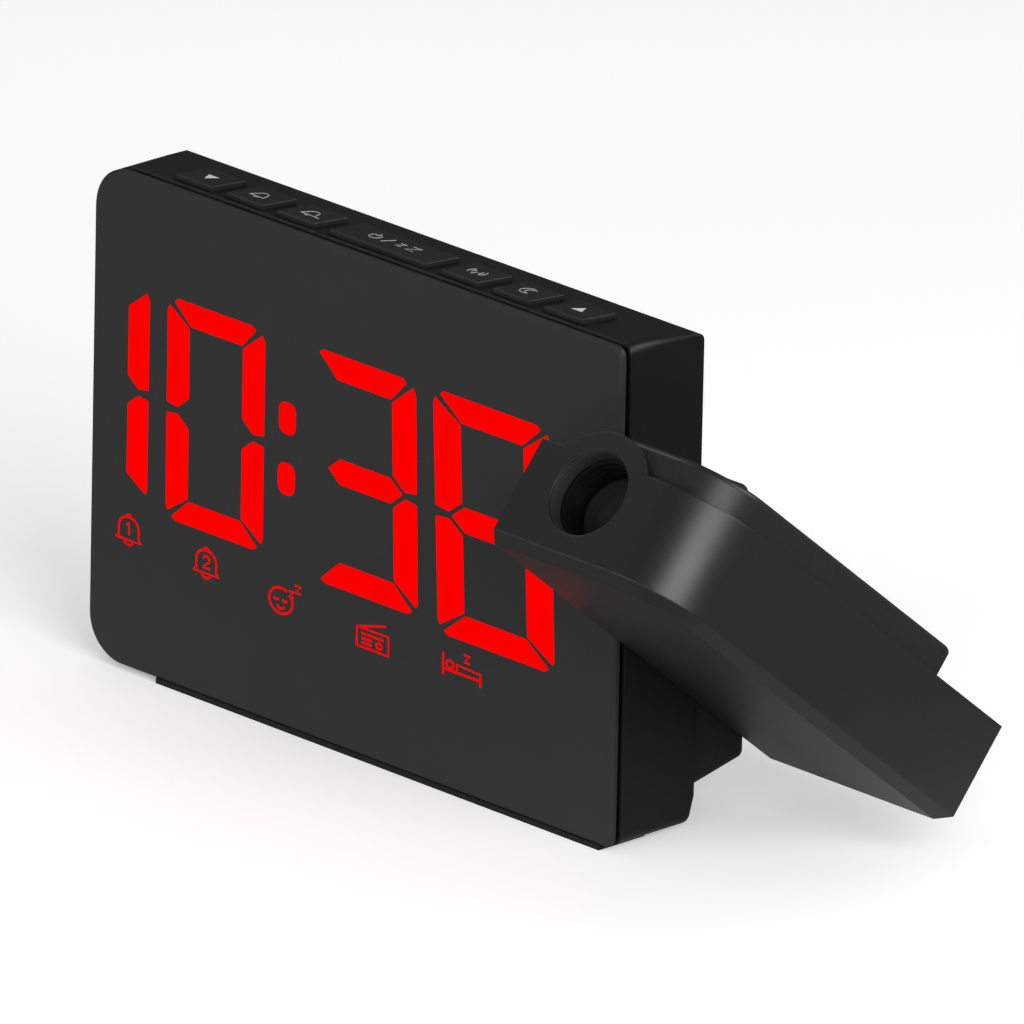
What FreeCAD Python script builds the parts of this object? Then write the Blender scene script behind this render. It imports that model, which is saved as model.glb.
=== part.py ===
import FreeCAD, Part
import math
import os

import Sketcher

# Projection alarm clock: a flat case with a red digit display, and a projector block on its
# right-hand end that turns about a left-right spindle.
# Frame: X to the right, Y to the back, Z up. The origin is on the table, under the middle of
# the case.

doc = FreeCAD.newDocument("ProjectionAlarmClock")
sheet = doc.addObject("Spreadsheet::Sheet", "Sizes")

SIZES = [
    # case
    ("case_width", 130.0),
    ("case_height", 90.0),
    ("slab_depth", 19.6),
    ("case_wall", 1.8),
    ("top_wall", 3.2),
    ("top_fall", 1.5),
    ("corner_round", 8.0),
    ("joint_corner", 2.0),
    ("heel_set", 1.5),
    ("rear_top_round", 1.5),
    ("foot_rise", 1.0),
    ("fit_gap", 0.15),
    ("edge_round", 0.6),
    # front window and the frame behind it
    ("panel_thick", 1.2),
    ("panel_bevel", 0.5),
    ("groove_width", 1.1),
    ("groove_depth", 1.3),
    ("frame_depth", 4.0),
    ("ledge_thick", 1.2),
    ("ledge_height", 1.4),
    ("post_radius", 2.6),
    ("screw_radius", 1.1),
    ("screw_head_radius", 2.1),
    ("screw_head_depth", 1.0),
    ("recess_depth", 0.6),
    ("recess_reach", 1.3),
    ("recess_width", 0.5),
    ("low_post_inset", 8.0),
    ("low_post_height", 13.0),
    ("high_post_inset", 4.6),
    ("high_post_height", 73.0),
    # rear cover with its hump
    ("plate_thick", 1.8),
    ("hump_depth", 14.2),
    ("hump_low", 5.2),
    ("hump_rise", 3.1),
    ("hump_top", 57.0),
    ("hump_shoulder", 6.5),
    ("hump_round", 1.6),
    # digits
    ("digit_height", 41.0),
    ("digit_width", 24.8),
    ("digit_stroke", 5.2),
    ("digit_low", 29.6),
    ("digit_first", 18.9),
    ("digit_second", 56.2),
    ("digit_third", 86.6),
    ("leading_one", 9.4),
    ("colon_place", 49.0),
    ("segment_gap", 0.5),
    ("segment_depth", 3.0),
    ("reflector_depth", 9.0),
    ("reflector_low", 17.0),
    ("reflector_high", 73.0),
    ("reflector_left", 7.5),
    ("reflector_right", 12.0),
    ("board_thick", 1.6),
    # keys
    ("key_width", 9.0),
    ("key_depth", 8.4),
    ("key_pitch", 12.7),
    ("snooze_width", 23.6),
    ("key_front", 3.9),
    ("first_key", 20.4),
    ("last_key", 111.6),
    ("key_gap", 0.25),
    ("key_proud", 0.9),
    ("key_flange", 0.9),
    ("key_flange_thick", 0.8),
    ("key_travel", 0.6),
    ("key_stem_radius", 1.5),
    ("key_stem", 2.2),
    ("switch_body", 3.1),
    ("switch_side", 6.0),
    ("switch_plunger", 1.0),
    ("switch_plunger_radius", 1.6),
    # things on the back
    ("speaker_radius", 17.0),
    ("speaker_depth", 6.0),
    ("speaker_place", 31.0),
    ("speaker_height", 32.0),
    ("slot_width", 1.6),
    ("slot_pitch", 3.2),
    ("slot_half_length", 11.0),
    ("slot_count", 8),
    ("door_width", 28.0),
    ("door_height", 34.0),
    ("door_place", 102.0),
    ("door_centre", 31.0),
    ("door_gap", 0.2),
    ("door_rebate", 2.2),
    ("door_tab", 5.2),
    ("bay_depth", 5.0),
    ("cell_radius", 10.0),
    ("cell_thick", 3.2),
    ("contact_thick", 0.3),
    ("jack_width", 9.0),
    ("jack_height", 11.0),
    ("jack_place", 63.0),
    ("jack_hole_radius", 2.9),
    ("jack_pin_radius", 0.8),
    ("port_width", 13.2),
    ("port_height", 5.8),
    ("port_place", 78.0),
    ("port_wall", 0.4),
    ("port_depth", 9.0),
    ("inlet_height", 17.0),
    ("board_low", 9.0),
    ("board_high", 60.0),
    ("board_left", 12.0),
    ("board_right", 112.0),
    # feet
    ("strip_left", 17.0),
    ("strip_right", 127.0),
    ("strip_depth", 11.2),
    ("strip_set", 0.3),
    ("pad_length", 16.0),
    ("pad_depth", 4.5),
    ("pad_inset", 2.2),
    ("pad_place", 15.0),
    # spindle of the projector block
    ("pivot_back", 12.4),
    ("pivot_height", 44.0),
    ("rest_tilt", 50.8),
    ("spindle_radius", 3.0),
    ("spindle_bore", 1.8),
    ("spindle_flange_radius", 5.3),
    ("spindle_flange", 1.6),
    ("spindle_reach", 8.6),
    ("bush_wall", 1.0),
    ("bush_flange_radius", 4.8),
    ("bush_flange", 1.2),
    ("running_gap", 0.06),
    ("washer_thick", 1.0),
    ("ring_thick", 0.9),
    ("ring_radius", 4.5),
    ("ring_groove", 0.6),
    ("cable_radius", 1.2),
    # projector block
    ("block_gap", 0.6),
    ("block_width", 41.5),
    ("block_wall", 1.4),
    ("block_bevel", 2.0),
    ("block_bend", 13.0),
    ("end_wall", 2.4),
    ("lens_in", 15.2),
    ("lens_back", 13.4),
    ("lens_hole_radius", 7.9),
    ("collar_wall", 1.8),
    ("collar_depth", 22.0),
    ("lobe_radius", 11.4),
    ("lobe_thick", 1.5),
    ("block_plate", 1.6),
    ("cover_proud", 5.6),
    ("cover_low", 19.0),
    ("cover_wall", 1.5),
    ("cover_round", 1.2),
    ("focus_recess", 3.4),
    ("focus_length", 18.0),
    ("focus_wall", 0.7),
    ("focus_gap", 0.08),
    ("focus_rib_count", 3),
    ("lens_drop", 8.2),
    ("lens_thick", 3.0),
    ("lens_seat", 0.8),
    ("holder_side", 9.0),
    ("holder_wall", 1.2),
    ("holder_length", 11.0),
    ("holder_flange", 13.4),
    ("slide_side", 6.4),
    ("slide_thick", 1.2),
    ("condenser_radius", 3.2),
    ("condenser_thick", 1.8),
    ("led_board_side", 9.0),
    ("led_radius", 2.0),
    ("led_height", 2.0),
]

for row, (alias, value) in enumerate(SIZES, start=1):
    sheet.set("A%d" % row, alias.replace("_", " "))
    sheet.set("B%d" % row, str(value))
    sheet.setAlias("B%d" % row, alias)
doc.recompute()


class Size:
    """A length that knows its value now and the sheet formula that gives it."""

    def __init__(self, value, text):
        self.value = float(value)
        self.text = text

    @staticmethod
    def of(other):
        return other if isinstance(other, Size) else Size(other, repr(float(other)))

    def _join(self, other, sign, value):
        return Size(value, "(%s %s %s)" % (self.text, sign, other.text))

    def __add__(self, other):
        other = Size.of(other)
        return self._join(other, "+", self.value + other.value)

    def __radd__(self, other):
        return Size.of(other) + self

    def __sub__(self, other):
        other = Size.of(other)
        return self._join(other, "-", self.value - other.value)

    def __rsub__(self, other):
        return Size.of(other) - self

    def __mul__(self, other):
        other = Size.of(other)
        return self._join(other, "*", self.value * other.value)

    def __rmul__(self, other):
        return Size.of(other) * self

    def __truediv__(self, other):
        other = Size.of(other)
        return self._join(other, "/", self.value / other.value)

    def __neg__(self):
        return Size.of(0.0) - self


class Sheet:
    """Gives each named cell as a Size."""

    def __getattr__(self, alias):
        return Size(sheet.get(alias), "Sizes." + alias)


S = Sheet()

# Places that several pieces share
LEFT = -S.case_width / 2
RIGHT = S.case_width / 2
FRONT = -S.slab_depth / 2
BACK = S.slab_depth / 2
BOTTOM = S.foot_rise
TOP = BOTTOM + S.case_height
SHELL_FRONT = FRONT + S.panel_thick + S.groove_width
LEDGE_FRONT = SHELL_FRONT + S.frame_depth
LEDGE_BACK = LEDGE_FRONT + S.ledge_thick
PLATE_FRONT = BACK - S.plate_thick
HUMP_BACK = BACK + S.hump_depth
HUMP_INSIDE = HUMP_BACK - S.plate_thick
INSET = S.case_wall + S.fit_gap
PIVOT_Y = FRONT + S.pivot_back
PIVOT_Z = BOTTOM + S.pivot_height
BLOCK_IN = RIGHT + S.block_gap
BLOCK_OUT = BLOCK_IN + S.block_width
LENS_X = BLOCK_IN + S.lens_in
LENS_Y = FRONT + S.lens_back
REFLECTOR_FRONT = FRONT + S.panel_thick + S.fit_gap
BOARD_FRONT = REFLECTOR_FRONT + S.reflector_depth
MAIN_BACK = PLATE_FRONT - S.board_thick
WALL_UNDER = TOP - S.top_wall
KEY_Y0 = FRONT + S.key_front
KEY_Y1 = KEY_Y0 + S.key_depth
FLANGE_TOP = WALL_UNDER - 0.1
FLANGE_LOW = FLANGE_TOP - S.key_flange_thick
STEM_LOW = FLANGE_LOW - S.key_stem
PLUNGER_TOP = STEM_LOW - S.key_travel - 0.05
SWITCH_TOP = PLUNGER_TOP - S.switch_plunger
KEY_BOARD_TOP = SWITCH_TOP - S.switch_body
SNOOZE_X = LEFT + (S.first_key + S.last_key) / 2
KEYS = [
    ("key_down", LEFT + S.first_key, S.key_width),
    ("key_alarm_one", LEFT + S.first_key + S.key_pitch, S.key_width),
    ("key_alarm_two", LEFT + S.first_key + S.key_pitch * 2, S.key_width),
    ("key_snooze", SNOOZE_X, S.snooze_width),
    ("key_radio", LEFT + S.last_key - S.key_pitch * 2, S.key_width),
    ("key_sleep", LEFT + S.last_key - S.key_pitch, S.key_width),
    ("key_up", LEFT + S.last_key, S.key_width),
]
LOW_POSTS = [(LEFT + S.low_post_inset, BOTTOM + S.low_post_height),
             (RIGHT - S.low_post_inset, BOTTOM + S.low_post_height)]
HIGH_POSTS = [(LEFT + S.high_post_inset, BOTTOM + S.high_post_height),
              (RIGHT - S.high_post_inset, BOTTOM + S.high_post_height)]
POSTS = LOW_POSTS + HIGH_POSTS
BOARD_BOSSES = [(LEFT + 16.0, KEY_Y1 + 3.3), (SNOOZE_X, KEY_Y1 + 3.3), (RIGHT - 16.0, KEY_Y1 + 3.3)]

PLANES = {"XY": "XY_Plane", "XZ": "XZ_Plane", "YZ": "YZ_Plane"}
sub_parts = []


def new_body(label):
    """Start a piece."""
    body = doc.addObject("PartDesign::Body", label)
    body.Label = label
    sub_parts.append(body)
    return body


def new_sketch(body, name, plane, at=0.0):
    """Sketch on an origin plane, moved to the coordinate `at` along its axis."""
    sketch = body.newObject("Sketcher::SketchObject", name)
    for feature in body.Origin.OriginFeatures:
        if feature.Role == PLANES[plane]:
            sketch.AttachmentSupport = [(feature, "")]
    sketch.MapMode = "FlatFace"
    offset = Size.of(at)
    if plane == "XZ":
        offset = -offset
    sketch.AttachmentOffset = FreeCAD.Placement(FreeCAD.Vector(0, 0, offset.value), FreeCAD.Rotation())
    sketch.setExpression("AttachmentOffset.Base.z", offset.text)
    return sketch


def hold(sketch, geometry, point, x, y):
    """Hold a point of the sketch at x, y."""
    for kind, size in (("DistanceX", Size.of(x)), ("DistanceY", Size.of(y))):
        index = sketch.addConstraint(
            Sketcher.Constraint(kind, -1, 1, geometry, point, size.value))
        sketch.setExpression("Constraints[%d]" % index, size.text)


def outline(sketch, points):
    """Closed outline through held corners."""
    points = [(Size.of(x), Size.of(y)) for x, y in points]
    first = sketch.GeometryCount
    count = len(points)
    for i in range(count):
        ax, ay = points[i]
        bx, by = points[(i + 1) % count]
        sketch.addGeometry(Part.LineSegment(
            FreeCAD.Vector(ax.value, ay.value, 0), FreeCAD.Vector(bx.value, by.value, 0)), False)
    for i in range(count):
        sketch.addConstraint(Sketcher.Constraint(
            "Coincident", first + i, 2, first + (i + 1) % count, 1))
    for i, (x, y) in enumerate(points):
        hold(sketch, first + i, 1, x, y)
    return sketch


def rectangle(sketch, x0, y0, x1, y1):
    """Rectangle between two held corners."""
    return outline(sketch, [(x0, y0), (x1, y0), (x1, y1), (x0, y1)])


def ring_circle(sketch, x, y, radius):
    """Circle with a held centre."""
    x, y, radius = Size.of(x), Size.of(y), Size.of(radius)
    index = sketch.addGeometry(Part.Circle(
        FreeCAD.Vector(x.value, y.value, 0), FreeCAD.Vector(0, 0, 1), radius.value), False)
    hold(sketch, index, 3, x, y)
    mark = sketch.addConstraint(Sketcher.Constraint("Radius", index, radius.value))
    sketch.setExpression("Constraints[%d]" % mark, radius.text)
    return sketch


def extrude(body, sketch, length, kind, forward=True, middle=False):
    """Pad or pocket; forward is along +X, +Y or +Z."""
    doc.recompute()
    before = body.Shape.Volume if body.Tip else 0.0
    feature = body.newObject("PartDesign::" + kind, sketch.Name + kind)
    feature.Profile = sketch
    length = Size.of(length)
    feature.setExpression("Length", length.text)
    along_normal = forward != (sketch.AttachmentSupport[0][0].Role == "XZ_Plane")
    if kind == "Pocket":
        along_normal = not along_normal
    feature.Reversed = not along_normal
    if middle:
        feature.Midplane = True
    doc.recompute()
    if kind == "Pocket" and body.Shape.Volume > before - 1e-6:
        raise ValueError("%s in %s removes nothing" % (sketch.Name, body.Label))
    return feature


def pad(body, sketch, length, forward=True, middle=False):
    """Add a prism."""
    return extrude(body, sketch, length, "Pad", forward, middle)


def pocket(body, sketch, length, forward=True, middle=False):
    """Cut a prism."""
    return extrude(body, sketch, length, "Pocket", forward, middle)


def box(body, name, x0, x1, y0, y1, z0, z1, cut=False):
    """Rectangular block between held coordinates, sketched on its low face."""
    sketch = rectangle(new_sketch(body, name, "XY", z0), x0, y0, x1, y1)
    height = Size.of(z1) - z0
    return pocket(body, sketch, height) if cut else pad(body, sketch, height)


def rod(body, name, axis, centre, radius, start, end, cut=False):
    """Cylinder along an axis; the centre is given in the other two coordinates."""
    plane = {"X": "YZ", "Y": "XZ", "Z": "XY"}[axis]
    sketch = ring_circle(new_sketch(body, name, plane, start), centre[0], centre[1], radius)
    length = Size.of(end) - start
    return pocket(body, sketch, length) if cut else pad(body, sketch, length)


def straight_edges(shape, axis, **where):
    """Names of straight edges along an axis that pass the given coordinates."""
    direction = {"x": FreeCAD.Vector(1, 0, 0), "y": FreeCAD.Vector(0, 1, 0),
                 "z": FreeCAD.Vector(0, 0, 1)}[axis]
    found = []
    for number, edge in enumerate(shape.Edges, start=1):
        if not isinstance(edge.Curve, Part.Line) or len(edge.Vertexes) < 2:
            continue
        run = edge.Vertexes[1].Point - edge.Vertexes[0].Point
        if run.Length < 1e-6 or abs(run.normalize().dot(direction)) < 0.99:
            continue
        middle = edge.CenterOfMass
        near = all(abs(getattr(middle, key) - Size.of(value).value) < 0.02
                   for key, value in where.items())
        if near:
            found.append("Edge%d" % number)
    return found


def plane_edges(shape, axis, value, inside=None):
    """Names of all edges that lie in the plane where a coordinate has one value."""
    value = Size.of(value).value
    found = []
    for number, edge in enumerate(shape.Edges, start=1):
        if all(abs(getattr(point, axis) - value) < 0.01
               for point in edge.discretize(5)):
            if inside is None or inside(edge.CenterOfMass):
                found.append("Edge%d" % number)
    return found


def dress(body, name, edges, size, kind="Fillet"):
    """Round or bevel edges of the piece as it is now."""
    if not edges:
        raise ValueError("no edges for %s in %s" % (name, body.Label))
    feature = body.newObject("PartDesign::" + kind, name)
    feature.Base = (body.Tip, edges)
    if body.Tip == feature:
        feature.Base = (body.Group[-2], edges)
    feature.setExpression("Size" if kind == "Chamfer" else "Radius", Size.of(size).text)
    doc.recompute()
    return feature


def tilt(body):
    """Turn a piece of the projector block from closed to its rest tilt about the spindle."""
    angle = S.rest_tilt
    body.Placement = FreeCAD.Placement(
        FreeCAD.Vector(0, 0, 0), FreeCAD.Rotation(FreeCAD.Vector(1, 0, 0), angle.value))
    turn = "(%s * 1 deg)" % angle.text
    body.setExpression("Placement.Rotation.Angle", turn)
    body.setExpression("Placement.Base.y", "(%s - %s * cos(%s) + %s * sin(%s)) * 1 mm" % (
        PIVOT_Y.text, PIVOT_Y.text, turn, PIVOT_Z.text, turn))
    body.setExpression("Placement.Base.z", "(%s - %s * cos(%s) - %s * sin(%s)) * 1 mm" % (
        PIVOT_Z.text, PIVOT_Z.text, turn, PIVOT_Y.text, turn))


def rounded(sketch, x0, y0, x1, y1, radii):
    """Rectangle with its own radius at each corner, from the low left corner round."""
    x0, y0, x1, y1 = (Size.of(v) for v in (x0, y0, x1, y1))
    corners = [(x0, y0, 1, 1), (x1, y0, -1, 1), (x1, y1, -1, -1), (x0, y1, 1, -1)]
    ends = []
    for number, ((cx, cy, sx, sy), radius) in enumerate(zip(corners, radii)):
        radius = Size.of(radius)
        along_x = (cx + radius * sx, cy)
        along_y = (cx, cy + radius * sy)
        pair = (along_y, along_x) if number % 2 == 0 else (along_x, along_y)
        ends.append(pair if radius.value > 0.05 else ((cx, cy),))
    lines = []
    for i in range(4):
        start = ends[i][-1]
        stop = ends[(i + 1) % 4][0]
        index = sketch.addGeometry(Part.LineSegment(
            FreeCAD.Vector(start[0].value, start[1].value, 0),
            FreeCAD.Vector(stop[0].value, stop[1].value, 0)), False)
        hold(sketch, index, 1, *start)
        if len(ends[(i + 1) % 4]) > 1:
            hold(sketch, index, 2, *stop)
        lines.append(index)
    for i in range(4):
        before = lines[(i + 3) % 4]
        after = lines[i]
        if len(ends[i]) == 1:
            sketch.addConstraint(Sketcher.Constraint("Coincident", before, 2, after, 1))
            continue
        cx, cy, sx, sy = corners[i]
        radius = Size.of(radii[i])
        centre = FreeCAD.Vector((cx + radius * sx).value, (cy + radius * sy).value, 0)
        turn = math.pi * (1.0 + 0.5 * i)
        arc = sketch.addGeometry(Part.ArcOfCircle(
            Part.Circle(centre, FreeCAD.Vector(0, 0, 1), radius.value), turn, turn + math.pi / 2), False)
        sketch.addConstraint(Sketcher.Constraint("Coincident", before, 2, arc, 1))
        sketch.addConstraint(Sketcher.Constraint("Coincident", arc, 2, after, 1))
        mark = sketch.addConstraint(Sketcher.Constraint("Radius", arc, radius.value))
        sketch.setExpression("Constraints[%d]" % mark, radius.text)
    return sketch


def case_outline(body, name, y, inset, top=None):
    """Front view of the case, set in by one distance; its left corners are wide."""
    wide = S.corner_round - inset
    tight = S.joint_corner - inset
    return rounded(new_sketch(body, name, "XZ", y), LEFT + inset, BOTTOM + inset, RIGHT - inset,
                   TOP - inset if top is None else top, [wide, tight, tight, wide])


# Housing: a ring with its key openings, spindle hole and a ledge for the display frame
housing = new_body("housing")
pad(housing, case_outline(housing, "CaseOutline", SHELL_FRONT, Size.of(0.0)), BACK - SHELL_FRONT)
fall = outline(new_sketch(housing, "TopFall", "YZ"), [
    (SHELL_FRONT, TOP), (SHELL_FRONT, TOP + 1.0), (BACK + 1.0, TOP + 1.0),
    (BACK + 1.0, TOP - S.top_fall), (BACK, TOP - S.top_fall)])
pocket(housing, fall, S.case_width + 2.0, middle=True)
inner_top = TOP - S.top_wall
pocket(housing, case_outline(housing, "FrontRoom", SHELL_FRONT, S.case_wall, inner_top), S.frame_depth)
pocket(housing, case_outline(housing, "RearRoom", LEDGE_BACK, S.case_wall, inner_top), BACK - LEDGE_BACK)
pocket(housing, case_outline(housing, "LedgeRoom", LEDGE_FRONT, S.case_wall + S.ledge_height, inner_top),
       S.ledge_thick)
notches = new_sketch(housing, "PostNotches", "XZ", LEDGE_FRONT)
for (x, z), side, out in zip(HIGH_POSTS, (LEFT + S.case_wall, RIGHT - S.case_wall), (1, -1)):
    rectangle(notches, side, z - S.post_radius - S.fit_gap,
              x + (S.post_radius + S.fit_gap) * out, z + S.post_radius + S.fit_gap)
pocket(housing, notches, S.ledge_thick)
key_holes = new_sketch(housing, "KeyHoles", "XY", inner_top - 0.5)
for label, centre, width in KEYS:
    rectangle(key_holes, centre - width / 2 - S.key_gap, KEY_Y0 - S.key_gap,
              centre + width / 2 + S.key_gap, KEY_Y1 + S.key_gap)
pocket(housing, key_holes, S.top_wall + 1.0)
rod(housing, "SpindleHole", "X", (PIVOT_Y, PIVOT_Z), S.spindle_radius + S.bush_wall,
    RIGHT - S.case_wall - 1.0, RIGHT + 1.0, cut=True)
box(housing, "StripSeat", LEFT + S.strip_left, LEFT + S.strip_right, SHELL_FRONT - 1.0,
    FRONT + S.strip_depth, BOTTOM - 1.0, BOTTOM + S.strip_set, cut=True)
seats = new_sketch(housing, "PadSeats", "XY", BOTTOM - 1.0)
for side in (LEFT + S.pad_place, RIGHT - S.pad_place):
    rectangle(seats, side - S.pad_length / 2, BACK - S.pad_depth - S.pad_inset,
              side + S.pad_length / 2, BACK - S.pad_inset)
pocket(housing, seats, S.strip_set + 1.0)
bosses = new_sketch(housing, "BoardBosses", "XY", KEY_BOARD_TOP)
for x, y in BOARD_BOSSES:
    ring_circle(bosses, x, y, 1.9)
pad(housing, bosses, inner_top - KEY_BOARD_TOP)
boss_holes = new_sketch(housing, "BoardBossHoles", "XY", KEY_BOARD_TOP)
for x, y in BOARD_BOSSES:
    ring_circle(boss_holes, x, y, S.screw_radius + 0.05)
pocket(housing, boss_holes, 3.4)
dress(housing, "TopFrontEdge", straight_edges(housing.Shape, "x", y=SHELL_FRONT, z=TOP), S.edge_round)
dress(housing, "TopRearEdge", straight_edges(housing.Shape, "x", y=BACK, z=TOP - S.top_fall),
      S.rear_top_round)


def cut_heel(body):
    """Sets the low rear edge of the case forward."""
    heel = outline(new_sketch(body, "Heel", "YZ"), [
        (BACK - S.heel_set, BOTTOM), (BACK - S.heel_set, BOTTOM - 1.0), (BACK + 0.5, BOTTOM - 1.0),
        (BACK + 0.5, BOTTOM + S.hump_low), (BACK, BOTTOM + S.hump_low)])
    pocket(body, heel, S.case_width + 2.0, middle=True)


cut_heel(housing)

# Display frame: fills the groove behind the window and carries the four case posts
display_frame = new_body("display_frame")
pad(display_frame, case_outline(display_frame, "GrooveOutline", FRONT + S.panel_thick,
                                S.groove_depth), S.groove_width)
pad(display_frame, case_outline(display_frame, "Stem", SHELL_FRONT, INSET,
                                KEY_BOARD_TOP - S.board_thick - 0.4), S.frame_depth)
pocket(display_frame, rectangle(
    new_sketch(display_frame, "Window", "XZ", FRONT + S.panel_thick),
    LEFT + S.reflector_left - S.fit_gap, BOTTOM + S.reflector_low - S.fit_gap,
    RIGHT - S.reflector_right + S.fit_gap, BOTTOM + S.reflector_high + S.fit_gap),
    S.groove_width + S.frame_depth)
posts = new_sketch(display_frame, "Posts", "XZ", LEDGE_FRONT)
for x, z in POSTS:
    ring_circle(posts, x, z, S.post_radius)
pad(display_frame, posts, PLATE_FRONT - LEDGE_FRONT)
holes = new_sketch(display_frame, "PostHoles", "XZ", PLATE_FRONT - 6.0)
for x, z in POSTS:
    ring_circle(holes, x, z, S.screw_radius + 0.05)
pocket(display_frame, holes, 6.0)

# Dark window plate over the whole front
display_panel = new_body("display_panel")
pad(display_panel, case_outline(display_panel, "PanelOutline", FRONT, Size.of(0.0)), S.panel_thick)
dress(display_panel, "PanelBevel", plane_edges(display_panel.Shape, "y", FRONT),
      S.panel_bevel, "Chamfer")

# Rear cover: an inlaid plate with a hollow hump, speaker slots, cell bay and inlets
rear_cover = new_body("rear_cover")
half = RIGHT - INSET
hump_profile = [
    (BACK - 0.5, BOTTOM + S.hump_low), (BACK, BOTTOM + S.hump_low),
    (HUMP_BACK, BOTTOM + S.hump_low + S.hump_rise), (HUMP_BACK, BOTTOM + S.hump_top),
    (BACK, BOTTOM + S.hump_top + S.hump_shoulder), (BACK - 0.5, BOTTOM + S.hump_top + S.hump_shoulder)]
pad(rear_cover, outline(new_sketch(rear_cover, "HumpProfile", "YZ"), hump_profile), half * 2,
    middle=True)
rear_edges = (plane_edges(rear_cover.Shape, "y", HUMP_BACK)
              + plane_edges(rear_cover.Shape, "x", half,
                            lambda p: p.y > BACK.value + 0.5 and p.y < HUMP_BACK.value - 0.5)
              + plane_edges(rear_cover.Shape, "x", -half,
                            lambda p: p.y > BACK.value + 0.5 and p.y < HUMP_BACK.value - 0.5))
dress(rear_cover, "HumpRound", rear_edges, S.hump_round)
pad(rear_cover, case_outline(rear_cover, "Plate", PLATE_FRONT, INSET, TOP - S.top_wall - S.fit_gap),
    S.plate_thick)
cut_heel(rear_cover)
wall = S.plate_thick
room = outline(new_sketch(rear_cover, "HumpRoom", "YZ"), [
    (PLATE_FRONT - 0.5, BOTTOM + S.hump_low + wall), (BACK, BOTTOM + S.hump_low + wall),
    (HUMP_INSIDE, BOTTOM + S.hump_low + S.hump_rise + wall), (HUMP_INSIDE, BOTTOM + S.hump_top - wall),
    (BACK, BOTTOM + S.hump_top + S.hump_shoulder - wall),
    (PLATE_FRONT - 0.5, BOTTOM + S.hump_top + S.hump_shoulder - wall)])
pocket(rear_cover, room, (half - wall) * 2, middle=True)
SPEAKER_X = LEFT + S.speaker_place
SPEAKER_Z = BOTTOM + S.speaker_height
DOOR_X = LEFT + S.door_place
DOOR_Z = BOTTOM + S.door_centre
INLET_Z = BOTTOM + S.inlet_height
JACK_X = LEFT + S.jack_place
PORT_X = LEFT + S.port_place
BAY_FLOOR = HUMP_INSIDE - S.bay_depth
WELL = S.screw_head_radius + S.fit_gap

wells = new_sketch(rear_cover, "ScrewWells", "XZ", PLATE_FRONT)
for x, z in LOW_POSTS:
    ring_circle(wells, x, z, WELL + 1.2)
pad(rear_cover, wells, HUMP_BACK - PLATE_FRONT - 0.2)
DOOR_LOW = DOOR_Z - S.door_height / 2
DOOR_HIGH = DOOR_Z + S.door_height / 2
DOOR_LEFT = DOOR_X - S.door_width / 2
DOOR_RIGHT = DOOR_X + S.door_width / 2
DOOR_SCREW_Z = DOOR_HIGH - S.door_tab / 2
STANDOFFS = [(LEFT + 52.0, BOTTOM + 50.0), (LEFT + 88.0 - S.door_gap, BOTTOM + 54.0),
             (LEFT + 22.0, BOTTOM + 55.0)]
pad(rear_cover, rectangle(new_sketch(rear_cover, "CellBay", "XZ", BAY_FLOOR - 1.2),
                          DOOR_LEFT - 1.0, DOOR_LOW - 1.0, DOOR_RIGHT + 1.0, DOOR_HIGH + 1.0),
    HUMP_BACK - BAY_FLOOR + 0.6)
pocket(rear_cover, rectangle(new_sketch(rear_cover, "DoorSeat", "XZ", HUMP_INSIDE),
                             DOOR_LEFT, DOOR_LOW, DOOR_RIGHT, DOOR_HIGH), S.plate_thick + 1.0)
pocket(rear_cover, rectangle(new_sketch(rear_cover, "BayRoom", "XZ", BAY_FLOOR),
                             DOOR_LEFT + S.door_rebate, DOOR_LOW + S.door_rebate,
                             DOOR_RIGHT - S.door_rebate, DOOR_HIGH - S.door_tab), S.bay_depth + 0.5)
pocket(rear_cover, ring_circle(new_sketch(rear_cover, "DoorScrewHole", "XZ", BAY_FLOOR),
                               DOOR_X, DOOR_SCREW_Z, S.screw_radius + 0.05), S.bay_depth + 1.0)
standoffs = new_sketch(rear_cover, "Standoffs", "XZ", PLATE_FRONT)
for x, z in STANDOFFS:
    ring_circle(standoffs, x, z, 2.4)
pad(rear_cover, standoffs, HUMP_INSIDE - PLATE_FRONT + 0.3)
counter = new_sketch(rear_cover, "ScrewHeads", "XZ", BACK - S.screw_head_depth)
for x, z in POSTS:
    ring_circle(counter, x, z, WELL)
pocket(rear_cover, counter, S.hump_depth + S.screw_head_depth + 1.0)
shanks = new_sketch(rear_cover, "ScrewShanks", "XZ", PLATE_FRONT - 0.5)
for x, z in POSTS:
    ring_circle(shanks, x, z, S.screw_radius + S.fit_gap)
pocket(rear_cover, shanks, S.plate_thick)
slot = rectangle(new_sketch(rear_cover, "SpeakerSlot", "XZ", HUMP_INSIDE - 0.5),
                 SPEAKER_X - S.slot_half_length,
                 SPEAKER_Z - S.slot_pitch * (S.slot_count - 1) / 2 - S.slot_width / 2,
                 SPEAKER_X + S.slot_half_length,
                 SPEAKER_Z - S.slot_pitch * (S.slot_count - 1) / 2 + S.slot_width / 2)
first_slot = pocket(rear_cover, slot, S.plate_thick + 1.0)
row = rear_cover.newObject("PartDesign::LinearPattern", "SpeakerSlots")
row.Originals = [first_slot]
row.Direction = (slot, ["V_Axis"])
row.setExpression("Length", (S.slot_pitch * (S.slot_count - 1)).text)
row.setExpression("Occurrences", S.slot_count.text)
rear_cover.Tip = row
doc.recompute()
inlets = new_sketch(rear_cover, "InletHoles", "XZ", HUMP_INSIDE - 0.5)
ring_circle(inlets, JACK_X, INLET_Z, S.jack_hole_radius + 1.0 + S.fit_gap)
rectangle(inlets, PORT_X - S.port_width / 2 - S.fit_gap, INLET_Z - S.port_height / 2 - S.fit_gap,
          PORT_X + S.port_width / 2 + S.fit_gap, INLET_Z + S.port_height / 2 + S.fit_gap)
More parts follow.
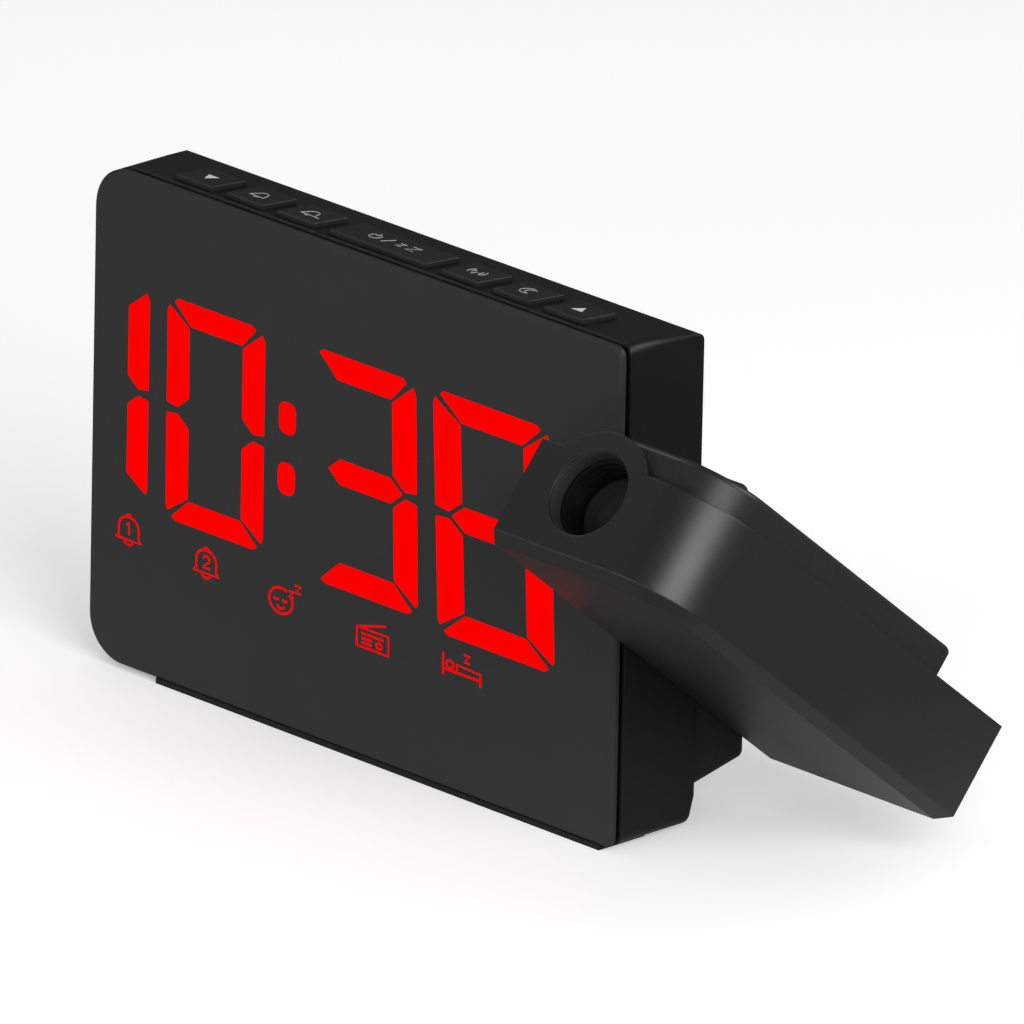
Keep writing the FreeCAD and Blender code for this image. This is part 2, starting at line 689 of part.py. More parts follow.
pocket(rear_cover, inlets, S.plate_thick + 1.0)

def cross_recess(body, places, back):
    """Cuts a cross into the head of each screw."""
    sketch = new_sketch(body, "CrossRecess", "XZ", back - S.recess_depth)
    reach = S.recess_reach
    half = S.recess_width / 2
    for x, z in places:
        outline(sketch, [
            (x - reach, z - half), (x - half, z - half), (x - half, z - reach), (x + half, z - reach),
            (x + half, z - half), (x + reach, z - half), (x + reach, z + half), (x + half, z + half),
            (x + half, z + reach), (x - half, z + reach), (x - half, z + half), (x - reach, z + half)])
    pocket(body, sketch, S.recess_depth + 0.2)


# Case screws: four pan heads with their shanks in the frame's posts
case_screws = new_body("case_screws")
sketch = new_sketch(case_screws, "Heads", "XZ", BACK - S.screw_head_depth)
for x, z in POSTS:
    ring_circle(sketch, x, z, S.screw_head_radius)
pad(case_screws, sketch, S.screw_head_depth)
sketch = new_sketch(case_screws, "Shanks", "XZ", PLATE_FRONT - 5.0)
for x, z in POSTS:
    ring_circle(sketch, x, z, S.screw_radius)
pad(case_screws, sketch, BACK - S.screw_head_depth - PLATE_FRONT + 5.0)
cross_recess(case_screws, POSTS, BACK)


# Digits: a leading one, three full digits and a colon, as light windows in a reflector block
def segments(sketch, left, low, grow, wanted):
    """Seven-segment outlines; grow widens them into the pockets that hold them."""
    w = S.digit_width
    tall = S.digit_height
    b = S.digit_stroke
    g = S.segment_gap - grow
    mid = low + tall / 2
    high = low + tall
    right = left + w
    shapes = {
        "a": [(left + g * 1.5, high + grow), (right - g * 1.5, high + grow),
              (right - b - g * 0.5, high - b + g), (left + b + g * 0.5, high - b + g)],
        "d": [(left + g * 1.5, low - grow), (left + b + g * 0.5, low + b - g),
              (right - b - g * 0.5, low + b - g), (right - g * 1.5, low - grow)],
        "b": [(right + grow, high - g * 1.5), (right + grow, mid + g),
              (right - b / 2, mid + g), (right - b + g, mid + b / 2 + g), (right - b + g, high - b - g * 0.5)],
        "c": [(right + grow, low + g * 1.5), (right - b + g, low + b + g * 0.5),
              (right - b + g, mid - b / 2 - g), (right - b / 2, mid - g), (right + grow, mid - g)],
        "e": [(left - grow, low + g * 1.5), (left - grow, mid - g), (left + b / 2, mid - g),
              (left + b - g, mid - b / 2 - g), (left + b - g, low + b + g * 0.5)],
        "f": [(left - grow, high - g * 1.5), (left + b - g, high - b - g * 0.5),
              (left + b - g, mid + b / 2 + g), (left + b / 2, mid + g), (left - grow, mid + g)],
        "g": [(left + b / 2 + g * 1.5, mid), (left + b + g, mid + b / 2 - g), (right - b - g, mid + b / 2 - g),
              (right - b / 2 - g * 1.5, mid), (right - b - g, mid - b / 2 + g), (left + b + g, mid - b / 2 + g)],
    }
    for letter in wanted:
        outline(sketch, shapes[letter])


def all_digits(sketch, grow):
    """Every light window of the display."""
    low = BOTTOM + S.digit_low
    segments(sketch, LEFT + S.leading_one + S.digit_stroke - S.digit_width, low, grow, "bc")
    for place in (S.digit_first, S.digit_second, S.digit_third):
        segments(sketch, LEFT + place, low, grow, "abcdefg")
    for level in (0.36, 0.64):
        middle = low + S.digit_height * level
        rectangle(sketch, LEFT + S.colon_place - 1.9 - grow, middle - 2.4 - grow,
                  LEFT + S.colon_place + 1.9 + grow, middle + 2.4 + grow)


digit_reflector = new_body("digit_reflector")
box(digit_reflector, "Block", LEFT + S.reflector_left, RIGHT - S.reflector_right,
    REFLECTOR_FRONT, BOARD_FRONT, BOTTOM + S.reflector_low, BOTTOM + S.reflector_high)
sketch = new_sketch(digit_reflector, "LightWindows", "XZ", REFLECTOR_FRONT)
all_digits(sketch, Size.of(0.1))
pocket(digit_reflector, sketch, S.segment_depth)

digit_segments = new_body("digit_segments")
sketch = new_sketch(digit_segments, "LightGuides", "XZ", REFLECTOR_FRONT)
all_digits(sketch, Size.of(0.0))
pad(digit_segments, sketch, S.segment_depth)

# Circuit boards
display_board = new_body("display_board")
box(display_board, "Board", LEFT + S.reflector_left, RIGHT - S.reflector_right, BOARD_FRONT,
    BOARD_FRONT + S.board_thick, BOTTOM + S.reflector_low, BOTTOM + S.reflector_high)
main_board = new_body("main_board")
box(main_board, "Board", LEFT + S.board_left, LEFT + S.board_right, MAIN_BACK, PLATE_FRONT,
    BOTTOM + S.board_low, BOTTOM + S.board_high)
key_board = new_body("key_board")
box(key_board, "Board", LEFT + 12.0, RIGHT - 12.0, KEY_Y0 - 0.6, KEY_Y1 + 5.4,
    KEY_BOARD_TOP - S.board_thick, KEY_BOARD_TOP)
sketch = new_sketch(key_board, "ScrewHoles", "XY", KEY_BOARD_TOP - S.board_thick)
for x, y in BOARD_BOSSES:
    ring_circle(sketch, x, y, S.screw_radius + 0.05)
pocket(key_board, sketch, S.board_thick)
key_board_screws = new_body("key_board_screws")
sketch = new_sketch(key_board_screws, "Heads", "XY", KEY_BOARD_TOP - S.board_thick - S.screw_head_depth)
for x, y in BOARD_BOSSES:
    ring_circle(sketch, x, y, 1.9)
pad(key_board_screws, sketch, S.screw_head_depth)
sketch = new_sketch(key_board_screws, "Shanks", "XY", KEY_BOARD_TOP - S.board_thick)
for x, y in BOARD_BOSSES:
    ring_circle(sketch, x, y, S.screw_radius)
pad(key_board_screws, sketch, S.board_thick + 3.0)
key_switches = new_body("key_switches")
KEY_MIDDLE = (KEY_Y0 + KEY_Y1) / 2
sketch = new_sketch(key_switches, "Bodies", "XY", KEY_BOARD_TOP)
for label, centre, width in KEYS:
    rectangle(sketch, centre - S.switch_side / 2, KEY_MIDDLE - S.switch_side / 2,
              centre + S.switch_side / 2, KEY_MIDDLE + S.switch_side / 2)
pad(key_switches, sketch, S.switch_body)
sketch = new_sketch(key_switches, "Plungers", "XY", SWITCH_TOP)
for label, centre, width in KEYS:
    ring_circle(sketch, centre, KEY_MIDDLE, S.switch_plunger_radius)
pad(key_switches, sketch, S.switch_plunger)

# Keys: a cap whose top follows the fall of the case, a flange under the wall and a stem
SLOPE = S.top_fall / (BACK - SHELL_FRONT)
for label, centre, width in KEYS:
    key = new_body(label)
    front_top = TOP + S.key_proud - (KEY_Y0 - SHELL_FRONT) * SLOPE
    back_top = TOP + S.key_proud - (KEY_Y1 - SHELL_FRONT) * SLOPE
    profile = outline(new_sketch(key, "Side", "YZ", centre - width / 2), [
        (KEY_Y0 - S.key_flange, FLANGE_LOW), (KEY_Y1 + S.key_flange, FLANGE_LOW),
        (KEY_Y1 + S.key_flange, FLANGE_TOP), (KEY_Y1, FLANGE_TOP), (KEY_Y1, back_top),
        (KEY_Y0, front_top), (KEY_Y0, FLANGE_TOP), (KEY_Y0 - S.key_flange, FLANGE_TOP)])
    pad(key, profile, width)
    rod(key, "Stem", "Z", (centre, KEY_MIDDLE), S.key_stem_radius, STEM_LOW, FLANGE_LOW + 0.2)
    top_edges = []
    for number, edge in enumerate(key.Shape.Edges, start=1):
        if min(v.Z for v in edge.Vertexes) > TOP.value - 1.0:
            top_edges.append("Edge%d" % number)
    dress(key, "TopRound", top_edges, S.edge_round * 0.6)

# Speaker, cell bay parts and inlets on the back
speaker = new_body("speaker")
rod(speaker, "Basket", "Y", (SPEAKER_X, SPEAKER_Z), S.speaker_radius, HUMP_INSIDE - S.speaker_depth * 0.4,
    HUMP_INSIDE)
rod(speaker, "Magnet", "Y", (SPEAKER_X, SPEAKER_Z), S.speaker_radius * 0.55, HUMP_INSIDE - S.speaker_depth,
    HUMP_INSIDE - S.speaker_depth * 0.4)
battery_door = new_body("battery_door")
box(battery_door, "Plate", DOOR_LEFT + S.door_gap, DOOR_RIGHT - S.door_gap, HUMP_INSIDE, HUMP_BACK,
    DOOR_LOW + S.door_gap, DOOR_HIGH - S.door_gap)
pocket(battery_door, ring_circle(new_sketch(battery_door, "ScrewHead", "XZ", HUMP_BACK - S.screw_head_depth),
                                 DOOR_X, DOOR_SCREW_Z, S.screw_head_radius + 0.1), S.screw_head_depth + 0.5)
pocket(battery_door, ring_circle(new_sketch(battery_door, "ScrewShank", "XZ", HUMP_INSIDE - 0.5),
                                 DOOR_X, DOOR_SCREW_Z, S.screw_radius + 0.1), S.plate_thick + 1.0)
pocket(battery_door, rectangle(new_sketch(battery_door, "CoinSlot", "XZ", HUMP_BACK - 0.6),
                               DOOR_X - 5.0, DOOR_LOW + 4.0, DOOR_X + 5.0, DOOR_LOW + 5.4), 1.0)
battery_door_screw = new_body("battery_door_screw")
rod(battery_door_screw, "Head", "Y", (DOOR_X, DOOR_SCREW_Z), S.screw_head_radius,
    HUMP_BACK - S.screw_head_depth, HUMP_BACK)
rod(battery_door_screw, "Shank", "Y", (DOOR_X, DOOR_SCREW_Z), S.screw_radius,
    BAY_FLOOR + 0.5, HUMP_BACK - S.screw_head_depth)
cross_recess(battery_door_screw, [(DOOR_X, DOOR_SCREW_Z)], HUMP_BACK)
CELL_Z = DOOR_LOW + S.door_rebate + S.cell_radius + 1.2
cell_contact = new_body("cell_contact")
box(cell_contact, "Leaf", DOOR_X - 3.0, DOOR_X + 3.0, BAY_FLOOR, BAY_FLOOR + S.contact_thick,
    CELL_Z - 8.0, CELL_Z + 8.0)
coin_cell = new_body("coin_cell")
rod(coin_cell, "Cell", "Y", (DOOR_X, CELL_Z), S.cell_radius, BAY_FLOOR + S.contact_thick,
    BAY_FLOOR + S.contact_thick + S.cell_thick)
dc_jack = new_body("dc_jack")
box(dc_jack, "Block", JACK_X - S.jack_width / 2, JACK_X + S.jack_width / 2, PLATE_FRONT, HUMP_INSIDE - 0.1,
    INLET_Z - S.jack_height / 2, INLET_Z + S.jack_height / 2)
rod(dc_jack, "Nose", "Y", (JACK_X, INLET_Z), S.jack_hole_radius + 1.0, HUMP_INSIDE - 0.5, HUMP_BACK - 0.3)
rod(dc_jack, "Bore", "Y", (JACK_X, INLET_Z), S.jack_hole_radius, HUMP_BACK - S.port_depth, HUMP_BACK, cut=True)
rod(dc_jack, "Pin", "Y", (JACK_X, INLET_Z), S.jack_pin_radius, HUMP_BACK - S.port_depth - 0.2, HUMP_BACK - 1.5)
usb_port = new_body("usb_port")
box(usb_port, "Case", PORT_X - S.port_width / 2, PORT_X + S.port_width / 2, PLATE_FRONT, HUMP_BACK - 0.3,
    INLET_Z - S.port_height / 2, INLET_Z + S.port_height / 2)
box(usb_port, "Mouth", PORT_X - S.port_width / 2 + S.port_wall, PORT_X + S.port_width / 2 - S.port_wall,
    HUMP_BACK - S.port_depth, HUMP_BACK, INLET_Z - S.port_height / 2 + S.port_wall,
    INLET_Z + S.port_height / 2 - S.port_wall, cut=True)
box(usb_port, "Tongue", PORT_X - S.port_width / 2 + 1.4, PORT_X + S.port_width / 2 - 1.4,
    HUMP_BACK - S.port_depth - 0.2, HUMP_BACK - 1.0, INLET_Z + 0.2, INLET_Z + 1.9)

# Feet
front_foot = new_body("front_foot")
box(front_foot, "Strip", LEFT + S.strip_left + 0.1, LEFT + S.strip_right - 0.1, FRONT + 0.2,
    FRONT + S.strip_depth - 0.1, 0.0, BOTTOM)
box(front_foot, "Seat", LEFT + S.strip_left + 0.1, LEFT + S.strip_right - 0.1, SHELL_FRONT + 0.1,
    FRONT + S.strip_depth - 0.1, BOTTOM, BOTTOM + S.strip_set)
rear_feet = new_body("rear_feet")
sketch = new_sketch(rear_feet, "Pads", "XY", 0.0)
for side in (LEFT + S.pad_place, RIGHT - S.pad_place):
    rectangle(sketch, side - S.pad_length / 2 + 0.1, BACK - S.pad_depth - S.pad_inset + 0.1,
              side + S.pad_length / 2 - 0.1, BACK - S.pad_inset - 0.1)
pad(rear_feet, sketch, BOTTOM + S.strip_set)

# Spindle of the projector block: hollow, flanged in the block, held in the case by a ring
SPINDLE_END = RIGHT - S.spindle_reach
BLOCK_WALL_IN = BLOCK_IN + S.block_wall
BUSH_IN = RIGHT - S.case_wall - S.bush_flange
RING_FACE = BUSH_IN - S.washer_thick
RING_END = RING_FACE - S.ring_thick
AXLE = (PIVOT_Y, PIVOT_Z)
pivot_spindle = new_body("pivot_spindle")
rod(pivot_spindle, "Tube", "X", AXLE, S.spindle_radius, SPINDLE_END, BLOCK_WALL_IN)
rod(pivot_spindle, "Flange", "X", AXLE, S.spindle_flange_radius, BLOCK_WALL_IN,
    BLOCK_WALL_IN + S.spindle_flange)
groove = ring_circle(ring_circle(new_sketch(pivot_spindle, "RingGroove", "YZ", RING_END - 0.05),
                                 AXLE[0], AXLE[1], S.spindle_radius + 1.0),
                     AXLE[0], AXLE[1], S.spindle_radius - S.ring_groove)
pocket(pivot_spindle, groove, S.ring_thick + 0.1)
rod(pivot_spindle, "CableBore", "X", AXLE, S.spindle_bore, SPINDLE_END, BLOCK_WALL_IN + S.spindle_flange,
    cut=True)
pivot_bush = new_body("pivot_bush")
rod(pivot_bush, "Flange", "X", AXLE, S.bush_flange_radius, BUSH_IN, RIGHT - S.case_wall)
rod(pivot_bush, "Sleeve", "X", AXLE, S.spindle_radius + S.bush_wall, RIGHT - S.case_wall, BLOCK_IN - 0.1)
rod(pivot_bush, "Bore", "X", AXLE, S.spindle_radius + S.running_gap, BUSH_IN, BLOCK_IN - 0.1, cut=True)
friction_washer = new_body("friction_washer")
rod(friction_washer, "Disc", "X", AXLE, S.bush_flange_radius - 0.2, RING_FACE + 0.02, BUSH_IN - 0.02)
rod(friction_washer, "Hole", "X", AXLE, S.spindle_radius + S.running_gap, RING_FACE, BUSH_IN, cut=True)
retaining_ring = new_body("retaining_ring")
rod(retaining_ring, "Disc", "X", AXLE, S.ring_radius, RING_END, RING_FACE - 0.02)
rod(retaining_ring, "Hole", "X", AXLE, S.spindle_radius - S.ring_groove + 0.02, RING_END, RING_FACE, cut=True)
projector_cable = new_body("projector_cable")
rod(projector_cable, "Bundle", "X", AXLE, S.cable_radius, SPINDLE_END - 2.4,
    BLOCK_WALL_IN + S.spindle_flange + 5.0)

# Projector shell: the block's front, ends and sides, with the lens collar and its round lobe
projector_shell = new_body("projector_shell")
none = Size.of(0.0)
pad(projector_shell, rounded(new_sketch(projector_shell, "BlockOutline", "XZ", FRONT), BLOCK_IN, BOTTOM,
                             BLOCK_OUT, TOP, [none, none, S.block_bend, none]), BACK - FRONT)
dress(projector_shell, "FrontBevel",
      plane_edges(projector_shell.Shape, "y", FRONT, lambda p: p.x > BLOCK_IN.value + 0.5),
      S.block_bevel, "Chamfer")
inner_round = S.block_bend - S.block_wall
pocket(projector_shell, rounded(new_sketch(projector_shell, "Room", "XZ", FRONT + S.block_wall),
                                BLOCK_WALL_IN, BOTTOM + S.block_wall, BLOCK_OUT - S.block_wall,
                                TOP - S.end_wall, [none, none, inner_round, none]),
       S.slab_depth - S.block_wall)
BLOCK_SCREWS = [(BLOCK_IN + 7.0, BOTTOM + 8.0), (BLOCK_OUT - 9.0, BOTTOM + 9.0)]
COVER_FRONT = BACK - S.block_plate
sketch = new_sketch(projector_shell, "ScrewPosts", "XZ", FRONT + S.block_wall)
for x, z in BLOCK_SCREWS:
    ring_circle(sketch, x, z, 2.4)
pad(projector_shell, sketch, COVER_FRONT - FRONT - S.block_wall)
sketch = new_sketch(projector_shell, "PostHoles", "XZ", COVER_FRONT - 6.0)
for x, z in BLOCK_SCREWS:
    ring_circle(sketch, x, z, S.screw_radius + 0.05)
pocket(projector_shell, sketch, 6.0)
LENS = (LENS_X, LENS_Y)
rod(projector_shell, "Collar", "Z", LENS, S.lens_hole_radius + S.collar_wall, TOP - S.collar_depth, TOP - 0.5)
rod(projector_shell, "Lobe", "Z", LENS, S.lobe_radius, TOP - S.lobe_thick, TOP)
rod(projector_shell, "LensHole", "Z", LENS, S.lens_hole_radius, TOP - S.collar_depth, TOP, cut=True)
rod(projector_shell, "SpindleHole", "X", AXLE, S.spindle_radius + 0.05, BLOCK_IN, BLOCK_WALL_IN, cut=True)

# Projector cover: an inlaid plate with a raised back over the lens tube
projector_cover = new_body("projector_cover")
COVER_TOP = TOP - S.lobe_thick - 0.05
COVER_BACK = BACK + S.cover_proud
rod(projector_cover, "TubeBack", "Z", LENS, S.lobe_radius - 0.8, TOP - S.collar_depth - 2.0, COVER_TOP)
box(projector_cover, "TubeFront", LENS_X - 20.0, LENS_X + 20.0, FRONT - 2.0, BACK,
    TOP - S.collar_depth - 4.0, TOP + 1.0, cut=True)
outer_round = S.block_bend - S.cover_wall
pad(projector_cover, rounded(new_sketch(projector_cover, "RaisedBack", "XZ", BACK), LENS_X,
                             BOTTOM + S.cover_low, BLOCK_OUT - S.cover_wall, COVER_TOP,
                             [none, none, outer_round, none]), S.cover_proud)
dress(projector_cover, "RaisedRound",
      plane_edges(projector_cover.Shape, "y", COVER_BACK,
                  lambda p: p.x > BLOCK_OUT.value - 3.5 or p.z < (BOTTOM + S.cover_low).value + 0.5),
      S.cover_round)
plate_in = S.block_wall + 0.1
pad(projector_cover, rounded(new_sketch(projector_cover, "Plate", "XZ", COVER_FRONT), BLOCK_IN + plate_in,
                             BOTTOM + plate_in, BLOCK_OUT - plate_in, TOP - S.end_wall - 0.1,
                             [none, none, S.block_bend - plate_in, none]),
    S.block_plate)
pocket(projector_cover, rectangle(new_sketch(projector_cover, "RaisedRoom", "XZ", COVER_FRONT),
                                  LENS_X + S.cover_wall, BOTTOM + S.cover_low + S.cover_wall,
                                  BLOCK_OUT - S.cover_wall * 3, TOP - S.block_bend),
       COVER_BACK - COVER_FRONT - S.cover_wall)
rod(projector_cover, "TubeRoom", "Z", LENS, S.lens_hole_radius + S.collar_wall + 0.15,
    TOP - S.collar_depth - 1.0, TOP, cut=True)
sketch = new_sketch(projector_cover, "ScrewHeads", "XZ", BACK - S.screw_head_depth)
for x, z in BLOCK_SCREWS:
    ring_circle(sketch, x, z, WELL)
pocket(projector_cover, sketch, S.screw_head_depth + 0.5)
sketch = new_sketch(projector_cover, "ScrewShanks", "XZ", COVER_FRONT - 0.5)
for x, z in BLOCK_SCREWS:
    ring_circle(sketch, x, z, S.screw_radius + S.fit_gap)
pocket(projector_cover, sketch, S.block_plate)
projector_screws = new_body("projector_screws")
sketch = new_sketch(projector_screws, "Heads", "XZ", BACK - S.screw_head_depth)
for x, z in BLOCK_SCREWS:
    ring_circle(sketch, x, z, S.screw_head_radius)
pad(projector_screws, sketch, S.screw_head_depth)
sketch = new_sketch(projector_screws, "Shanks", "XZ", COVER_FRONT - 5.0)
for x, z in BLOCK_SCREWS:
    ring_circle(sketch, x, z, S.screw_radius)
pad(projector_screws, sketch, BACK - S.screw_head_depth - COVER_FRONT + 5.0)
cross_recess(projector_screws, BLOCK_SCREWS, BACK)

# Focus barrel with its lens: turns in the collar, its ribbed rim inside the lens hole
FOCUS_TOP = TOP - S.focus_recess
FOCUS_LOW = FOCUS_TOP - S.focus_length
LENS_TOP = TOP - S.lens_drop
LENS_LOW = LENS_TOP - S.lens_thick
focus_inner = S.lens_hole_radius - S.focus_gap - S.focus_wall
focus_barrel = new_body("focus_barrel")
rod(focus_barrel, "Tube", "Z", LENS, S.lens_hole_radius - S.focus_gap, FOCUS_LOW, FOCUS_TOP)
rod(focus_barrel, "LensRoom", "Z", LENS, focus_inner, LENS_LOW, FOCUS_TOP, cut=True)
rod(focus_barrel, "LightBore", "Z", LENS, focus_inner - S.lens_seat, FOCUS_LOW, LENS_LOW, cut=True)
rib_pitch = (FOCUS_TOP - LENS_TOP) / (S.focus_rib_count + 1)
for rib in range(int(S.focus_rib_count.value)):
    low = LENS_TOP + rib_pitch * (rib + 1) - 0.2
    rod(focus_barrel, "RimGroove%d" % (rib + 1), "Z", LENS, focus_inner + 0.35, low, low + 0.4, cut=True)
projection_lens = new_body("projection_lens")
rod(projection_lens, "Glass", "Z", LENS, focus_inner - 0.05, LENS_LOW, LENS_TOP)
dress(projection_lens, "Crown", plane_edges(projection_lens.Shape, "z", LENS_TOP), 1.2)

# Light path under the lens: holder, picture slide, condenser, lamp and its board
HOLDER_TOP = TOP - S.collar_depth
HOLDER_LOW = HOLDER_TOP - S.holder_length
side = S.holder_side / 2
optic_holder = new_body("optic_holder")
box(optic_holder, "Walls", LENS_X - side, LENS_X + side, LENS_Y - side, LENS_Y + side, HOLDER_LOW, HOLDER_TOP)
box(optic_holder, "Flange", LENS_X - S.holder_flange / 2, LENS_X + S.holder_flange / 2,
    LENS_Y - S.lens_hole_radius - S.collar_wall, LENS_Y + side, HOLDER_TOP - 1.2, HOLDER_TOP)
inner = side - S.holder_wall
box(optic_holder, "Room", LENS_X - inner, LENS_X + inner, LENS_Y - inner, LENS_Y + inner,
    HOLDER_LOW, HOLDER_TOP, cut=True)
image_slide = new_body("image_slide")
half_slide = S.slide_side / 2
box(image_slide, "Glass", LENS_X - half_slide, LENS_X + half_slide, LENS_Y - half_slide,
    LENS_Y + half_slide, HOLDER_TOP - 1.2 - S.slide_thick, HOLDER_TOP - 1.2)
condenser_lens = new_body("condenser_lens")
rod(condenser_lens, "Glass", "Z", LENS, S.condenser_radius, HOLDER_LOW + S.led_height + 1.5,
    HOLDER_LOW + S.led_height + 1.5 + S.condenser_thick)
led_board = new_body("led_board")
half_board = S.led_board_side / 2
box(led_board, "Board", LENS_X - half_board, LENS_X + half_board, LENS_Y - half_board,
    LENS_Y + half_board, HOLDER_LOW - S.board_thick, HOLDER_LOW)
projection_led = new_body("projection_led")
rod(projection_led, "Lamp", "Z", LENS, S.led_radius, HOLDER_LOW, HOLDER_LOW + S.led_height)

BLOCK_PIECES = [
    pivot_spindle, retaining_ring, projector_shell, projector_cover, projector_screws, focus_barrel,
    projection_lens, optic_holder, image_slide, condenser_lens, led_board, projection_led]
for piece in BLOCK_PIECES:
    tilt(piece)
doc.recompute()

# Every object has to be sound before anything is written
for item in doc.Objects:
    if "Invalid" in item.State or "Error" in item.State:
        raise ValueError("%s is %s" % (item.Label, item.State))
for piece in sub_parts:
    shape = piece.Shape
    if shape.isNull() or not shape.isValid() or not shape.Solids:
        raise ValueError("%s has no sound shape" % piece.Label)
os.makedirs("parts", exist_ok=True)
for piece in sub_parts:
    piece.Shape.exportStep("parts/%s.step" % piece.Label)
    bounds = piece.Shape.BoundBox
    print("%-20s solids %d volume %9.1f  x %.1f..%.1f  y %.1f..%.1f  z %.1f..%.1f" % (
        piece.Label, len(piece.Shape.Solids), piece.Shape.Volume, bounds.XMin, bounds.XMax,
        bounds.YMin, bounds.YMax, bounds.ZMin, bounds.ZMax))
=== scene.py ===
"""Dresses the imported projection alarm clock: finishes, lit display, prints, studio and camera."""
import logging
import math
from dataclasses import dataclass
from enum import Enum

import bpy
from mathutils import Matrix, Vector


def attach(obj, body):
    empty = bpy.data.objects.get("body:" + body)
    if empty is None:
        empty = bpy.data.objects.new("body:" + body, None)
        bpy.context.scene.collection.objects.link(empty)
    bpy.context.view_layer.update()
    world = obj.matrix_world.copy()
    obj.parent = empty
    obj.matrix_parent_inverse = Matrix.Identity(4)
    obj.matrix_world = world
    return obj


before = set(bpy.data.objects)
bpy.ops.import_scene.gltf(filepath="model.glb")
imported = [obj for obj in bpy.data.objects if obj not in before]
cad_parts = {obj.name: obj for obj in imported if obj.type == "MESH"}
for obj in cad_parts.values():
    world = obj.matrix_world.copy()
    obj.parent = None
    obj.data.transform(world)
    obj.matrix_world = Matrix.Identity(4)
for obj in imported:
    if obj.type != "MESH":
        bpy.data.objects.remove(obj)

LOG = logging.getLogger("alarm_clock")
MM = 0.001
Point = tuple[float, float]
Place = tuple[float, float, float]


class Face(Enum):
    """The face of the clock that a flat piece lies on."""

    WINDOW = "front of the display window"
    KEYS = "tops of the keys"


class Grain(Enum):
    """Surface left by the mould, with the spacing of its pits in millimetres."""

    SPARKED = 0.55
    SATIN = 0.9
    POLISHED = 6.0


def linear(colour: str) -> tuple[float, float, float, float]:
    """Turns an sRGB hex colour into linear numbers.

    Args:
        colour: Colour as "#rrggbb".

    Returns:
        The linear red, green and blue, and an alpha of 1.
    """
    channels = []
    for start in (1, 3, 5):
        value = int(colour[start:start + 2], 16) / 255.0
        channels.append(value / 12.92 if value <= 0.04045 else ((value + 0.055) / 1.055) ** 2.4)
    return channels[0], channels[1], channels[2], 1.0


def add_node(tree: bpy.types.NodeTree, kind: str, inputs: dict | None = None,
             **settings: object) -> bpy.types.Node:
    """Adds one shader node with its settings, values and links.

    Args:
        tree: Node tree of the material or world.
        kind: Type name of the node.
        inputs: Socket name to a value or to the socket that feeds it.
        **settings: Attributes of the node.

    Returns:
        The new node.
    """
    made = tree.nodes.new(kind)
    for name, value in settings.items():
        setattr(made, name, value)
    for name, value in (inputs or {}).items():
        if isinstance(value, bpy.types.NodeSocket):
            tree.links.new(value, made.inputs[name])
        else:
            made.inputs[name].default_value = value
    return made


def new_tree(name: str) -> tuple[bpy.types.Material, bpy.types.NodeTree]:
    """Makes an empty node material.

    Args:
        name: Name of the material.

    Returns:
        The material and its node tree.
    """
    material = bpy.data.materials.new(name)
    material.use_nodes = True
    material.node_tree.nodes.clear()
    return material, material.node_tree


def noise(tree: bpy.types.NodeTree, spacing_mm: float, detail: float) -> bpy.types.Node:
    """Adds a noise texture in object coordinates.

    Args:
        tree: Node tree of the material.
        spacing_mm: Distance between its blotches in millimetres.
        detail: Number of finer layers.

    Returns:
        The noise node.
    """
    place = add_node(tree, "ShaderNodeTexCoord").outputs["Object"]
    return add_node(tree, "ShaderNodeTexNoise", {
        "Vector": place, "Scale": 1.0 / (spacing_mm * MM), "Detail": detail})


@dataclass(frozen=True)
class MouldedPlastic:
    """Injection-moulded ABS: a dark even colour whose fine pits scatter the highlight.

    The grain is drawn about three times coarser than the real one, so that it shows.
    """

    name: str
    colour: str
    fleck: str
    roughness: float
    grain: Grain
    specular: float = 0.3
    edge_mm: float = 0.22
    cloud_mm: float = 24.0

    def build(self) -> bpy.types.Material:
        """Builds the node material.

        Returns:
            The finished material.
        """
        material, tree = new_tree(self.name)
        pits = noise(tree, self.grain.value, 2.0)
        clouds = noise(tree, self.cloud_mm, 3.0)
        tone = add_node(tree, "ShaderNodeMapRange", {
            "Value": pits.outputs["Fac"], "From Min": 0.3, "From Max": 0.7,
            "To Min": 0.0, "To Max": 1.0})
        colour = add_node(tree, "ShaderNodeMix", {
            "Factor": tone.outputs["Result"], "A": linear(self.colour),
            "B": linear(self.fleck)}, data_type="RGBA")
        sheen = add_node(tree, "ShaderNodeMapRange", {
            "Value": clouds.outputs["Fac"], "From Min": 0.25, "From Max": 0.75,
            "To Min": self.roughness - 0.03, "To Max": self.roughness + 0.05})
        edges = add_node(tree, "ShaderNodeBevel", {"Radius": self.edge_mm * MM}, samples=4)
        relief = add_node(tree, "ShaderNodeBump", {
            "Height": pits.outputs["Fac"], "Strength": 0.12, "Distance": 0.05 * MM,
            "Normal": edges.outputs["Normal"]})
        shader = add_node(tree, "ShaderNodeBsdfPrincipled", {
            "Base Color": colour.outputs["Result"], "Roughness": sheen.outputs["Result"],
            "Normal": relief.outputs["Normal"], "IOR": 1.5, "Specular IOR Level": self.specular})
        add_node(tree, "ShaderNodeOutputMaterial", {"Surface": shader.outputs["BSDF"]})
        return material


